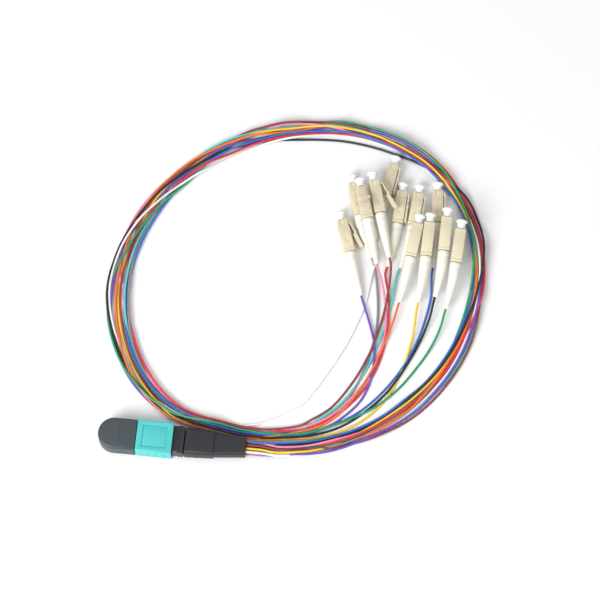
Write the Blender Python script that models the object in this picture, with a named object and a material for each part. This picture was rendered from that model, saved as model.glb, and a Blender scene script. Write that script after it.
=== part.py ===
"""Fibre breakout cable: one twelve-fibre trunk plug, twelve coloured fibre tubes and twelve small connectors.

It lies as a loose loop on a flat surface at z = 0. The frame's origin is the middle of the trunk plug's
underside, +X runs along the plug towards its boot, and +Z is up.
"""
from math import cos, pi, radians, sin

import bmesh
import bpy
import numpy as np
from mathutils import Matrix, Vector

MM = 0.001

# Clearance between touching pieces
FIT = 0.3 * MM

# Trunk plug
PLUG_WIDTH = 12.4 * MM
PLUG_HEIGHT = 7.6 * MM
SLEEVE_LENGTH = 13.8 * MM
SLEEVE_WALL = 0.6 * MM
SLEEVE_TRAVEL = 2.2 * MM
PANEL_LENGTH = 9.4 * MM
PANEL_WIDTH = 8.6 * MM
PANEL_DEPTH = 0.25 * MM
EDGE_ROUND = 0.4 * MM
COLLAR_LENGTH = 2.0 * MM
COLLAR_WIDTH = 11.0 * MM
COLLAR_HEIGHT = 6.6 * MM
NOSE_REACH = 6.5 * MM
FERRULE_WIDTH = 6.4 * MM
FERRULE_HEIGHT = 2.5 * MM
FERRULE_PROUD = 1.2 * MM
FERRULE_SEAT = 4.0 * MM
GUIDE_HOLE_RADIUS = 0.35 * MM
GUIDE_HOLE_PITCH = 4.6 * MM
GUIDE_HOLE_DEPTH = 1.5 * MM

# Dust cap of the trunk plug
DUST_CAP_LENGTH = 14.6 * MM
DUST_CAP_ROUND = 0.9 * MM

# Boot of the trunk plug
BOOT_GRIP_LENGTH = 11.2 * MM
BOOT_TAIL_LENGTH = 12.2 * MM
BOOT_FRONT_WIDTH = 11.0 * MM
BOOT_FRONT_HEIGHT = 6.8 * MM
BOOT_GRIP_NARROWING = 0.8 * MM
BOOT_STEP = 0.8 * MM
BOOT_WALL = 0.75 * MM
BOOT_MOUTH_DEPTH = 2.0 * MM
BOOT_CORNER = 1.4 * MM
BOOT_LEAD = 6.0 * MM

# Fibre tubes
FIBRE_DIAMETER = 0.9 * MM
FIBRE_PITCH = 1.2 * MM
MOUTH_PITCH = 1.35 * MM
MOUTH_COLUMNS = 4
MOUTH_ROWS = 3
FIBRE_FALL = 26.0 * MM
FIBRE_EASE = 4.2 * MM
FIBRE_LIFT = 0.05 * MM
CURVE_STEPS = 30
STRAND_STEP = 0.8 * MM
TUBE_STEPS = 64

# Small connectors
BODY_LENGTH = 13.4 * MM
BODY_SIDE = 4.5 * MM
BODY_CHAMFER = 0.35 * MM
BODY_GROOVE = 0.15 * MM
BORE_RADIUS = 1.65 * MM
BORE_DEPTH = 3.5 * MM
LEVER_WIDTH = 3.0 * MM
BLADE_THICKNESS = 0.6 * MM
TAB_THICKNESS = 1.5 * MM
TAB_LENGTH = 5.6 * MM
TAB_SETBACK = 0.8 * MM
LEVER_ROOT = 1.4 * MM
LUG_SETBACK = 5.6 * MM
LUG_LENGTH = 1.3 * MM
TAIL_LENGTH = 18.2 * MM
TAIL_TIP_RADIUS = 1.0 * MM
TAIL_SOCKET = 1.0 * MM
TAIL_LEAD = 3.0 * MM
END_CAP_REACH = 3.5 * MM
END_CAP_FLANGE = 2.2 * MM
END_CAP_NECK = 1.5 * MM

# How far a lever's tab stands off its body: sprung open, pressed by a neighbour, or leant on from above
LEVER_FREE = 4.9 * MM
LEVER_HALF = 3.6 * MM
LEVER_PRESSED = 1.1 * MM
LEVER_UNDER = 2.4 * MM

# The loop's middle, seen from the plug, and how far the loop is turned against the plug
PLUG_FROM_LOOP = Vector((-55.6, -58.1))
LOOP_TURN = radians(5.6)

COLOURS = {
    "blue": (0.03, 0.16, 0.62),
    "orange": (0.90, 0.22, 0.03),
    "green": (0.02, 0.36, 0.14),
    "brown": (0.30, 0.08, 0.04),
    "slate": (0.20, 0.21, 0.23),
    "white": (0.85, 0.86, 0.86),
    "red": (0.72, 0.05, 0.06),
    "black": (0.02, 0.02, 0.025),
    "yellow": (0.92, 0.62, 0.04),
    "violet": (0.20, 0.09, 0.50),
    "rose": (0.86, 0.36, 0.52),
    "aqua": (0.16, 0.66, 0.66),
}

# Connectors: where the fibre enters (mm in the loop's frame), the tail's heading and rise, the body's
# heading and rise (degrees), the side its lever is on, and how far the lever stands off
CONNECTORS = {
    "violet": ((24.0, 1.4, 1.1), (104, 3.8), (103, 0), "right", LEVER_HALF),
    "slate": ((28.3, 17.2, 1.1), (105, 3.8), (100, 0), "right", LEVER_UNDER),
    "rose": ((30.1, 13.6, 4.4), (101, 9), (100, 0), "up", LEVER_FREE),
    "brown": ((35.1, 16.2, 4.2), (101, 7.5), (100, 3), "right", LEVER_FREE),
    "white": ((29.9, 25.3, 1.1), (77, 3.8), (75, 0), "right", LEVER_PRESSED),
    "red": ((34.4, 13.4, 1.1), (77, 3.8), (81, 0), "right", LEVER_PRESSED),
    "aqua": ((39.4, 12.9, 1.1), (73, 3.8), (79.5, 0), "right", LEVER_PRESSED),
    "blue": ((52.3, 13.0, 1.1), (84, 3.8), (87.5, 0), "right", LEVER_PRESSED),
    "orange": ((38.8, -1.9, 2.8), (75, 15), (77, 8), "down", LEVER_UNDER),
    "yellow": ((46.2, -2.0, 2.8), (80, 15), (82.5, 8), "down", LEVER_UNDER),
    "black": ((52.9, 0.3, 2.8), (79, 15), (83.5, 8), "down", LEVER_UNDER),
    "green": ((57.0, -4.6, 2.8), (77, 15), (81, 8), "down", LEVER_UNDER),
}

# The order in which the fibres are laid on each other, lowest first
LAYING_ORDER = ("aqua", "slate", "white", "rose", "red", "violet", "yellow", "brown", "blue", "orange",
                "black", "green")

# How far each fibre lies from the loop's middle (mm) at places round the loop, from the outer edge of the
# bundle to its inner edge. The places are angles in degrees, counted on past a full turn
BUNDLE = (
    (262, "white 65.6, violet 65.0, yellow 64.5, aqua 64.1, slate 63.7, brown 63.3, orange 62.8, "
          "green 62.4, rose 62.0, red 61.5, black 61.0, blue 60.6"),
    (272, "violet 64.3, white 63.9, yellow 63.3, aqua 62.9, slate 62.5, brown 62.1, orange 61.6, "
          "green 61.2, rose 60.8, red 60.4, black 59.7, blue 59.1"),
    (285, "violet 63.3, white 62.8, brown 62.5, aqua 62.2, slate 61.8, orange 61.4, yellow 61.0, "
          "green 60.7, red 60.4, rose 59.5, black 58.5, blue 57.8"),
    (300, "brown 63.8, violet 62.9, aqua 62.6, white 62.2, orange 61.9, slate 61.1, green 60.6, "
          "red 60.1, rose 59.6, yellow 59.0, black 58.2, blue 57.6"),
    (315, "brown 65.5, violet 64.4, aqua 63.6, white 62.9, orange 62.2, slate 61.7, red 61.1, "
          "rose 60.6, green 60.2, yellow 59.8, black 59.0, blue 58.2"),
    (331, "brown 67.2, aqua 66.3, violet 65.6, white 64.8, slate 64.2, red 63.6, rose 63.1, "
          "orange 62.7, yellow 62.0, green 61.6, black 61.2, blue 60.4"),
    (346, "brown 69.2, aqua 68.4, violet 67.6, slate 67.2, white 66.8, rose 66.4, red 66.0, "
          "orange 65.2, yellow 64.7, black 64.1, blue 63.3, green 62.9"),
    (362, "red 71.7, rose 71.3, brown 70.9, violet 70.5, aqua 70.3, white 69.9, black 69.4, "
          "slate 69.2, orange 68.9, yellow 68.3, blue 67.6, green 66.6"),
    (378, "black 76.2, red 75.4, rose 75.0, brown 74.6, violet 74.2, white 73.7, aqua 73.4, "
          "slate 73.0, orange 72.7, yellow 72.2, green 71.9, blue 71.2"),
    (393, "black 78.8, violet 78.3, orange 77.9, red 77.6, brown 76.9, rose 76.6, green 76.1, "
          "aqua 75.8, slate 75.5, white 75.3, yellow 75.0, blue 74.1"),
    (408, "orange 80.4, green 79.3, violet 78.5, slate 77.9, brown 77.5, aqua 77.0, yellow 76.4, "
          "rose 76.0, red 75.5, white 75.3, black 75.0, blue 74.7"),
    (422, "orange 79.8, green 78.9, violet 78.1, brown 77.6, slate 77.2, aqua 76.6, yellow 76.1, "
          "rose 75.7, red 75.2, blue 74.4, white 74.0, black 71.9"),
    (436, "green 77.5, orange 76.9, brown 76.5, violet 75.9, aqua 75.6, slate 75.2, yellow 74.8, "
          "rose 74.1, blue 73.3, red 72.6, white 72.1, black 69.7"),
    (450, "brown 75.4, green 75.0, rose 74.4, aqua 73.9, slate 73.4, yellow 72.9, orange 72.1, "
          "violet 71.8, blue 71.3, red 70.4, white 69.4, black 68.2"),
    (464, "brown 74.1, rose 73.7, green 73.4, aqua 73.0, slate 72.6, yellow 72.2, orange 71.5, "
          "violet 70.6, blue 69.8, black 69.2, red 68.6, white 67.4"),
    (478, "aqua 73.1, rose 72.8, brown 72.4, orange 71.9, yellow 71.4, violet 70.9, slate 70.4, "
          "green 70.0, black 69.7, blue 68.9, red 68.0, white 66.3"),
    (492, "rose 73.1, orange 72.8, aqua 72.1, brown 71.5, yellow 71.1, black 70.6, violet 69.9, "
          "slate 69.3, red 68.7, blue 67.9, white 67.3, green 66.7"),
    (507, "rose 74.0, orange 73.1, black 72.3, brown 71.6, violet 71.3, yellow 71.0, white 70.3, "
          "red 69.6, aqua 69.0, green 68.4, slate 67.6, blue 66.9"),
    (522, "black 74.5, rose 74.0, white 73.6, violet 72.9, orange 72.2, green 71.0, yellow 70.6, "
          "brown 70.2, red 69.6, aqua 68.7, slate 67.7, blue 67.1"),
    (538, "black 75.8, green 75.3, white 74.8, violet 73.9, orange 72.2, yellow 71.3, brown 70.5, "
          "rose 69.9, aqua 68.7, red 68.2, blue 67.8, slate 67.2"),
    (554, "green 75.0, violet 74.5, black 74.0, white 73.1, orange 72.3, yellow 70.8, brown 69.9, "
          "blue 69.1, aqua 68.4, slate 67.6, rose 67.1, red 66.7"),
    (569, "violet 73.2, green 72.8, orange 72.4, black 71.9, white 71.4, yellow 70.4, brown 69.2, "
          "blue 68.3, aqua 67.7, slate 67.2, rose 66.6, red 66.0"),
    (585, "orange 69.5, violet 69.0, yellow 68.6, black 68.1, green 67.6, brown 67.2, white 66.7, "
          "slate 66.1, blue 65.6, aqua 65.1, rose 64.4, red 63.8"),
    (600, "yellow 63.1, orange 62.6, black 62.2, violet 61.7, slate 61.2, blue 60.7, aqua 60.2, "
          "green 59.7, rose 59.4, white 59.1, brown 58.7, red 58.3"),
    (612, "yellow 60.3, orange 59.9, black 59.4, violet 59.0, slate 58.4, blue 58.0, green 57.4, "
          "aqua 56.9, rose 56.5, brown 56.1, red 55.6, white 53.7"),
    (630, "yellow 56.8, black 56.3, blue 55.8, green 55.3, violet 54.8, orange 54.3, red 53.9, "
          "aqua 53.4, slate 52.9, rose 52.4, brown 51.9, white 43.9"),
)

# From the bundle to each connector (mm in the loop's frame)
FAN = {
    "violet": ((9.7, -52.6), (16.3, -48.5), (23.4, -41.7), (27.4, -33.1), (28.8, -24.6), (28.7, -16.7)),
    "slate": ((9.2, -48.8), (16.5, -43.3), (22.7, -33.9), (26.4, -25.1), (29.6, -13.3), (30.5, -5.2),
              (30.4, 2.6)),
    "rose": ((10.2, -48.8), (18.2, -42.2), (25.8, -33.0), (31.0, -21.8), (33.4, -12.4), (33.5, -3.8),
             (31.8, 7.4)),
    "brown": ((4.1, -49.6), (11.6, -44.8), (18.3, -37.1), (24.9, -26.8), (29.6, -16.3), (33.3, -4.0),
              (35.2, 6.7)),
    "red": ((12.2, -48.6), (20.4, -42.1), (26.7, -34.2), (30.9, -25.6), (33.8, -14.9), (34.7, -6.1),
            (34.8, 2.0)),
    "aqua": ((6.7, -49.4), (13.8, -44.6), (20.5, -37.1), (27.0, -26.6), (32.1, -14.1), (36.1, -0.9)),
    "orange": ((4.7, -53.2), (11.6, -49.9), (18.2, -43.8), (24.1, -35.8), (29.3, -26.6), (33.3, -17.4),
               (36.3, -10.0)),
    "yellow": ((7.2, -56.4), (15.3, -54.2), (24.8, -49.2), (31.6, -43.0), (36.8, -35.2), (41.0, -25.4),
               (44.2, -14.3)),
    "blue": ((8.2, -53.4), (16.2, -50.1), (25.1, -44.5), (33.5, -36.4), (40.4, -27.3), (45.8, -17.1),
             (49.5, -6.6), (51.5, 2.0)),
    "black": ((9.8, -54.4), (18.0, -51.0), (26.3, -45.2), (34.8, -37.0), (40.9, -28.0), (46.3, -18.5),
              (50.7, -8.2)),
    "green": ((10.8, -52.6), (19.4, -49.1), (26.3, -45.9), (32.9, -41.6), (39.4, -35.5), (45.5, -28.0),
              (51.0, -20.0), (54.8, -12.2)),
    "white": ((4.5, -38.9), (13.4, -26.3), (20.2, -14.5), (25.6, -1.5), (27.3, 5.8), (28.6, 11.5),
              (30.0, 15.2), (30.3, 18.6)),
}

HALF_BODY = BODY_SIDE / 2
HALF_FIBRE = FIBRE_DIAMETER / 2
PLUG_MIDDLE = PLUG_HEIGHT / 2
PLUG_BODY_WIDTH = PLUG_WIDTH - 2 * (SLEEVE_WALL + FIT)
PLUG_BODY_HEIGHT = PLUG_HEIGHT - 2 * (SLEEVE_WALL + FIT)
SLEEVE_FRONT = -SLEEVE_LENGTH / 2
SLEEVE_REAR = SLEEVE_LENGTH / 2
COLLAR_FRONT = SLEEVE_REAR + SLEEVE_TRAVEL + FIT
BOOT_FRONT = COLLAR_FRONT + COLLAR_LENGTH + FIT
BOOT_REAR = BOOT_FRONT + BOOT_GRIP_LENGTH + BOOT_TAIL_LENGTH
MOUTH_WIDTH = (MOUTH_COLUMNS - 1) * MOUTH_PITCH + FIBRE_DIAMETER + 2 * FIT
MOUTH_HEIGHT = (MOUTH_ROWS - 1) * MOUTH_PITCH + FIBRE_DIAMETER + 2 * FIT


def clear_scene():
    for thing in list(bpy.data.objects):
        bpy.data.objects.remove(thing, do_unlink=True)


def material(name, colour, roughness):
    made = bpy.data.materials.get(name)
    if made is None:
        made = bpy.data.materials.new(name)
        made.use_nodes = True
        shader = made.node_tree.nodes["Principled BSDF"]
        shader.inputs["Base Color"].default_value = (*colour, 1)
        shader.inputs["Roughness"].default_value = roughness
        shader.inputs["Metallic"].default_value = 0
    return made


def put(name, mesh, finish, place=None, smooth_angle=35):
    """Link a mesh as one named piece."""
    piece = bpy.data.objects.new(name, mesh)
    bpy.context.scene.collection.objects.link(piece)
    if finish:
        mesh.materials.append(finish)
    if place is not None:
        piece.matrix_world = place
    mesh.shade_smooth()
    mesh.set_sharp_from_angle(angle=radians(smooth_angle))
    return piece


def mesh_from_rings(name, rings):
    """Skin a row of equal rings and close both ends with flat faces."""
    shape = bmesh.new()
    made = [[shape.verts.new(point) for point in ring] for ring in rings]
    count = len(rings[0])
    for near, far in zip(made, made[1:]):
        for i in range(count):
            j = (i + 1) % count
            shape.faces.new((near[i], near[j], far[j], far[i]))
    shape.faces.new(made[0])
    shape.faces.new(list(reversed(made[-1])))
    bmesh.ops.recalc_face_normals(shape, faces=shape.faces[:])
    mesh = bpy.data.meshes.new(name)
    shape.to_mesh(mesh)
    shape.free()
    return mesh


def box_mesh(name, low, high):
    """An upright box between two corners."""
    rings = []
    for z in (low[2], high[2]):
        rings.append([(low[0], low[1], z), (high[0], low[1], z), (high[0], high[1], z), (low[0], high[1], z)])
    return mesh_from_rings(name, rings)


def round_edges(piece, width, segments=2):
    bevel = piece.modifiers.new("edges", "BEVEL")
    bevel.width = width
    bevel.segments = segments
    bevel.limit_method = "ANGLE"
    bevel.angle_limit = radians(40)


def combine(piece, tool, operation):
    """Cut a tool from a piece, or join it on, and keep the tool hidden beside it."""
    tool.hide_render = True
    tool.display_type = "WIRE"
    change = piece.modifiers.new(tool.name, "BOOLEAN")
    change.operation = operation
    change.solver = "EXACT"
    change.object = tool


def rounded_ring(x, width, height, corner, middle, arc_steps=3):
    """A ring across X in the shape of a rounded rectangle."""
    corner = min(corner, 0.49 * width, 0.49 * height)
    ring = []
    for quarter in range(4):
        side_y = 1 if quarter in (0, 3) else -1
        side_z = 1 if quarter in (0, 1) else -1
        centre_y = side_y * (width / 2 - corner)
        centre_z = middle + side_z * (height / 2 - corner)
        for step in range(arc_steps + 1):
            turn = (quarter + step / arc_steps) * pi / 2
            ring.append((x, centre_y + corner * cos(turn), centre_z + corner * sin(turn)))
    return ring


def circle_ring(centre, across, upwards, radius, sides):
    return [centre + radius * (cos(2 * pi * i / sides) * across + sin(2 * pi * i / sides) * upwards)
            for i in range(sides)]


def plug_body():
    """Inner housing: a nose that enters the cap, a shank inside the sleeve and a collar behind it."""
    black = material("plug_black", (0.025, 0.027, 0.032), 0.42)
    front = SLEEVE_FRONT - NOSE_REACH
    outline = (
        (front, PLUG_BODY_WIDTH - 1.2 * MM, PLUG_BODY_HEIGHT - 1.0 * MM),
        (front + 0.6 * MM, PLUG_BODY_WIDTH - 0.6 * MM, PLUG_BODY_HEIGHT - 0.4 * MM),
        (SLEEVE_FRONT - FIT, PLUG_BODY_WIDTH - 0.6 * MM, PLUG_BODY_HEIGHT - 0.4 * MM),
        (SLEEVE_FRONT, PLUG_BODY_WIDTH, PLUG_BODY_HEIGHT),
        (COLLAR_FRONT, PLUG_BODY_WIDTH, PLUG_BODY_HEIGHT),
        (COLLAR_FRONT, COLLAR_WIDTH, COLLAR_HEIGHT),
        (COLLAR_FRONT + COLLAR_LENGTH, COLLAR_WIDTH, COLLAR_HEIGHT),
    )
    rings = [rounded_ring(x, width, height, 0.5 * MM, PLUG_MIDDLE, 2) for x, width, height in outline]
    piece = put("plug_body", mesh_from_rings("plug_body", rings), black)
    seat = put("ferrule_seat", box_mesh(
        "ferrule_seat",
        (front - FIT, -FERRULE_WIDTH / 2 - FIT, PLUG_MIDDLE - FERRULE_HEIGHT / 2 - FIT),
        (front + FERRULE_SEAT, FERRULE_WIDTH / 2 + FIT, PLUG_MIDDLE + FERRULE_HEIGHT / 2 + FIT)), None)
    combine(piece, seat, "DIFFERENCE")


def plug_ferrule():
    """The flat ferrule in the nose, with its two guide holes."""
    grey = material("ferrule_grey", (0.10, 0.10, 0.11), 0.35)
    front = SLEEVE_FRONT - NOSE_REACH - FERRULE_PROUD
    rear = SLEEVE_FRONT - NOSE_REACH + FERRULE_SEAT - FIT
    piece = put("plug_ferrule", box_mesh(
        "plug_ferrule",
        (front, -FERRULE_WIDTH / 2, PLUG_MIDDLE - FERRULE_HEIGHT / 2),
        (rear, FERRULE_WIDTH / 2, PLUG_MIDDLE + FERRULE_HEIGHT / 2)), grey)
    for side, label in ((-1, "right"), (1, "left")):
        start = Vector((front - FIT, side * GUIDE_HOLE_PITCH / 2, PLUG_MIDDLE))
        end = start + Vector((GUIDE_HOLE_DEPTH + FIT, 0, 0))
        rings = [circle_ring(point, Vector((0, 1, 0)), Vector((0, 0, 1)), GUIDE_HOLE_RADIUS, 8)
                 for point in (start, end)]
        hole = put("guide_hole_" + label, mesh_from_rings("guide_hole", rings), None)
        combine(piece, hole, "DIFFERENCE")


def coupling_sleeve():
    """The coloured sleeve that slides on the plug body to release it."""
    aqua = material("sleeve_aqua", (0.05, 0.52, 0.50), 0.4)
    piece = put("coupling_sleeve", box_mesh(
        "coupling_sleeve",
        (SLEEVE_FRONT, -PLUG_WIDTH / 2, 0),
        (SLEEVE_REAR, PLUG_WIDTH / 2, PLUG_HEIGHT)), aqua)
    round_edges(piece, EDGE_ROUND)
    bore = put("sleeve_bore", box_mesh(
        "sleeve_bore",
        (SLEEVE_FRONT - FIT, SLEEVE_WALL - PLUG_WIDTH / 2, SLEEVE_WALL),
        (SLEEVE_REAR + FIT, PLUG_WIDTH / 2 - SLEEVE_WALL, PLUG_HEIGHT - SLEEVE_WALL)), None)
    combine(piece, bore, "DIFFERENCE")
    panel = put("sleeve_panel", box_mesh(
        "sleeve_panel",
        (-PANEL_LENGTH / 2, -PANEL_WIDTH / 2, PLUG_HEIGHT - PANEL_DEPTH),
        (PANEL_LENGTH / 2, PANEL_WIDTH / 2, PLUG_HEIGHT + FIT)), None)
    combine(piece, panel, "DIFFERENCE")


def dust_cap():
    """The push-on cap: a flat block with a half-round end and a pocket for the plug's nose."""
    black = material("cap_black", (0.03, 0.034, 0.04), 0.5)
    mouth = SLEEVE_FRONT - FIT
    radius = PLUG_WIDTH / 2
    turn_centre = mouth - DUST_CAP_LENGTH + radius
    steps = 12
    outline = [(mouth, radius)]
    outline += [(turn_centre - radius * sin(pi * i / steps), radius * cos(pi * i / steps))
                for i in range(steps + 1)]
    outline.append((mouth, -radius))
    rings = [[(x, y, z) for x, y in outline] for z in (0, PLUG_HEIGHT)]
    piece = put("dust_cap", mesh_from_rings("dust_cap", rings), black)
    round_edges(piece, DUST_CAP_ROUND)
    depth = NOSE_REACH + FERRULE_PROUD + FIT
    pocket = put("cap_pocket", box_mesh(
        "cap_pocket",
        (mouth - depth, -PLUG_BODY_WIDTH / 2, PLUG_MIDDLE - PLUG_BODY_HEIGHT / 2),
        (mouth + FIT, PLUG_BODY_WIDTH / 2, PLUG_MIDDLE + PLUG_BODY_HEIGHT / 2)), None)
    combine(piece, pocket, "DIFFERENCE")


def plug_boot():
    """The rubber boot: a grip, a small step and a tail that tapers to the fibres' mouth."""
    black = material("boot_black", (0.022, 0.022, 0.024), 0.6)
    step_x = BOOT_FRONT + BOOT_GRIP_LENGTH
    grip_width = BOOT_FRONT_WIDTH - BOOT_GRIP_NARROWING
    grip_height = BOOT_FRONT_HEIGHT - BOOT_GRIP_NARROWING
    outline = (
        (BOOT_FRONT, BOOT_FRONT_WIDTH, BOOT_FRONT_HEIGHT),
        (step_x, grip_width, grip_height),
        (step_x + 0.3 * MM, grip_width - BOOT_STEP, grip_height - BOOT_STEP),
        (BOOT_REAR, MOUTH_WIDTH + 2 * BOOT_WALL, MOUTH_HEIGHT + 2 * BOOT_WALL),
        (BOOT_REAR, MOUTH_WIDTH, MOUTH_HEIGHT),
        (BOOT_REAR - BOOT_MOUTH_DEPTH, MOUTH_WIDTH, MOUTH_HEIGHT),
    )
    rings = []
    for index, (x, width, height) in enumerate(outline):
        corner = BOOT_CORNER if index < 4 else 0.3 * MM
        rings.append(rounded_ring(x, width, height, corner, PLUG_MIDDLE))
    put("plug_boot", mesh_from_rings("plug_boot", rings), black)


def on_table(point):
    """A place given in the loop's frame (mm), as x and y in the part's frame."""
    away = Vector(point[:2]) - PLUG_FROM_LOOP
    return Matrix.Rotation(LOOP_TURN, 2) @ away * MM


def direction(heading, rise):
    """A unit vector at a heading in the loop's frame and a rise above the table, both in degrees."""
    turn = radians(heading) + LOOP_TURN
    climb = radians(rise)
    return Vector((cos(turn) * cos(climb), sin(turn) * cos(climb), sin(climb)))


def connector_places(colour):
    """Where one connector's fibre enters, where its tail meets its body, and the body's matrix."""
    tip, tail_turn, body_turn, side, stand_off = CONNECTORS[colour]
    entry = Vector((*on_table(tip), tip[2] * MM))
    joint = entry + TAIL_LENGTH * direction(*tail_turn)
    forward = direction(*body_turn)
    left = Vector((0, 0, 1)).cross(forward).normalized()
    up = forward.cross(left)
    roll = {"up": 0, "right": 90, "down": 180}[side]
    axes = Matrix((forward, left, up)).transposed().to_4x4()
    matrix = Matrix.Translation(joint + FIT * forward) @ axes @ Matrix.Rotation(radians(roll), 4, "X")
    return entry, joint, matrix, stand_off


def lever_outline(stand_off):
    """The latch lever seen from the side: a root at the nose, a thin blade and a thumb tab."""
    root = BODY_LENGTH - LEVER_ROOT
    end = TAB_SETBACK
    shoulder = end + TAB_LENGTH
    start_height = HALF_BODY + BLADE_THICKNESS + 0.2 * MM
    slope = (HALF_BODY + stand_off - start_height) / (root - end)

    def outer(x):
        return start_height + slope * (root - x)

    def tab_inner(x):
        return max(outer(x) - TAB_THICKNESS, HALF_BODY + FIT)

    below = HALF_BODY - 0.5 * MM
    return [
        (BODY_LENGTH - BODY_CHAMFER, below),
        (BODY_LENGTH - BODY_CHAMFER, HALF_BODY + 0.15 * MM),
        (root, outer(root)),
        (end, outer(end)),
        (end, tab_inner(end)),
        (shoulder, tab_inner(shoulder)),
        (shoulder + 0.4 * MM, outer(shoulder) - BLADE_THICKNESS),
        (root - 0.5 * MM, outer(root) - BLADE_THICKNESS),
        (root - 0.7 * MM, below),
    ], outer


def connector_body(colour, matrix, stand_off):
    """Square housing with a front bore, and the latch lever moulded on one side."""
    beige = material("body_beige", (0.66, 0.61, 0.46), 0.38)
    side = BODY_SIDE
    groove = side - 2 * BODY_GROOVE
    sections = (
        (0, side - BODY_CHAMFER), (0.2 * MM, side), (1.0 * MM, side), (1.1 * MM, groove), (1.5 * MM, groove),
        (1.6 * MM, side), (BODY_LENGTH - 0.2 * MM, side), (BODY_LENGTH, side - BODY_CHAMFER),
    )
    rings = []
    for x, width in sections:
        half = width / 2
        cut = half - BODY_CHAMFER
        rings.append([Vector((x, y, z)) for y, z in (
            (half, cut), (cut, half), (-cut, half), (-half, cut),
            (-half, -cut), (-cut, -half), (cut, -half), (half, -cut))])
    axis_y, axis_z = Vector((0, 1, 0)), Vector((0, 0, 1))
    half_step = Matrix.Rotation(pi / 8, 3, "X")
    for x in (BODY_LENGTH, BODY_LENGTH - BORE_DEPTH):
        rings.append(circle_ring(Vector((x, 0, 0)), half_step @ axis_y, half_step @ axis_z, BORE_RADIUS, 8))
    piece = put("connector_body_" + colour, mesh_from_rings("connector_body_" + colour, rings), beige, matrix)

    outline, outer = lever_outline(stand_off)
    rings = [[(x, y, z) for x, z in outline] for y in (-LEVER_WIDTH / 2, LEVER_WIDTH / 2)]
    lever = put("lever_" + colour, mesh_from_rings("lever_" + colour, rings), beige, matrix)
    combine(piece, lever, "UNION")
    lug_x = BODY_LENGTH - LUG_SETBACK
    lug = put("lug_" + colour, box_mesh(
        "lug_" + colour,
        (lug_x - LUG_LENGTH, -HALF_BODY, outer(lug_x) - BLADE_THICKNESS),
        (lug_x, HALF_BODY, outer(lug_x) + 0.2 * MM)), beige, matrix)
    combine(piece, lug, "UNION")


def connector_tail(colour, entry, joint, matrix):
    """Tapered rubber tail, gently curved from the body to the fibre."""
    white = material("tail_white", (0.86, 0.85, 0.80), 0.5)
    forward = matrix.to_3x3() @ Vector((1, 0, 0))
    bend = joint - 0.5 * TAIL_LENGTH * forward
    sides = 8
    profile = ((0, 0.96), (0.1, 1.0), (0.45, 0.83), (0.75, 0.58), (1, None))
    rings = []
    for along, share in profile:
        radius = TAIL_TIP_RADIUS if share is None else share * HALF_BODY
        point = (1 - along) ** 2 * joint + 2 * along * (1 - along) * bend + along ** 2 * entry
        slope = ((1 - along) * (bend - joint) + along * (entry - bend)).normalized()
        across = slope.cross(Vector((0, 0, 1))).normalized()
        upwards = across.cross(slope)
        rings.append(circle_ring(point, across, upwards, radius, sides))
    inner = HALF_FIBRE + FIT
    rings.append(circle_ring(entry, across, upwards, inner, sides))
    rings.append(circle_ring(entry - TAIL_SOCKET * slope, across, upwards, inner, sides))
    put("connector_tail_" + colour, mesh_from_rings("connector_tail_" + colour, rings), white)
    return slope


def connector_cap(colour, matrix):
    """Mushroom dust cap with its stem in the connector's bore."""
    white = material("cap_white", (0.93, 0.93, 0.92), 0.45)
    stem = BORE_RADIUS - FIT
    face = BODY_LENGTH + FIT
    reach = END_CAP_REACH
    profile = (
        (BODY_LENGTH - BORE_DEPTH + FIT, stem), (face, stem), (face, END_CAP_NECK + 0.15 * MM),
        (face + 0.35 * reach, END_CAP_NECK), (face + 0.62 * reach, END_CAP_NECK + 0.2 * MM),
        (face + 0.76 * reach, END_CAP_FLANGE), (face + 0.9 * reach, END_CAP_FLANGE),
        (face + reach, 0.72 * END_CAP_FLANGE),
    )
    rings = [circle_ring(Vector((x, 0, 0)), Vector((0, 1, 0)), Vector((0, 0, 1)), radius, 10)
             for x, radius in profile]
    put("connector_cap_" + colour, mesh_from_rings("connector_cap_" + colour, rings), white, matrix)


def bundle_radii(row):
    """The fibres at one place round the loop, and how far each lies from the loop's middle in millimetres."""
    return {name: float(radius) for name, radius in (entry.split() for entry in row.split(", "))}


def mouth_place(colour):
    """Sideways and upward place of a fibre in the boot's mouth: three rows, sorted across as in the bundle."""
    rank = LAYING_ORDER.index(colour)
    row = rank // MOUTH_COLUMNS
    mates = LAYING_ORDER[row * MOUTH_COLUMNS:(row + 1) * MOUTH_COLUMNS]
    column = sorted(mates, key=bundle_radii(BUNDLE[0][1]).get).index(colour)
    side = (0.5 * (MOUTH_COLUMNS - 1) - column) * MOUTH_PITCH
    height = PLUG_MIDDLE + (row - 0.5 * (MOUTH_ROWS - 1)) * MOUTH_PITCH
    return side, height


def route(colour, entry, slope):
    """The chosen points of one fibre, seen from above, from the trunk plug to its connector."""
    side, _ = mouth_place(colour)
    start = BOOT_REAR - BOOT_MOUTH_DEPTH + FIT
    points = [(start, side), (BOOT_REAR, side), (BOOT_REAR + BOOT_LEAD, side)]
    for angle, row in BUNDLE:
        radius = bundle_radii(row)[colour]
        points.append(tuple(on_table((radius * cos(radians(angle)), radius * sin(radians(angle))))))
    points += [tuple(on_table(point)) for point in FAN[colour]]
    end = entry - (TAIL_SOCKET - FIT) * slope
    lead = entry + TAIL_LEAD * slope
    return points + [tuple(lead[:2]), tuple(end[:2])]


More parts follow.
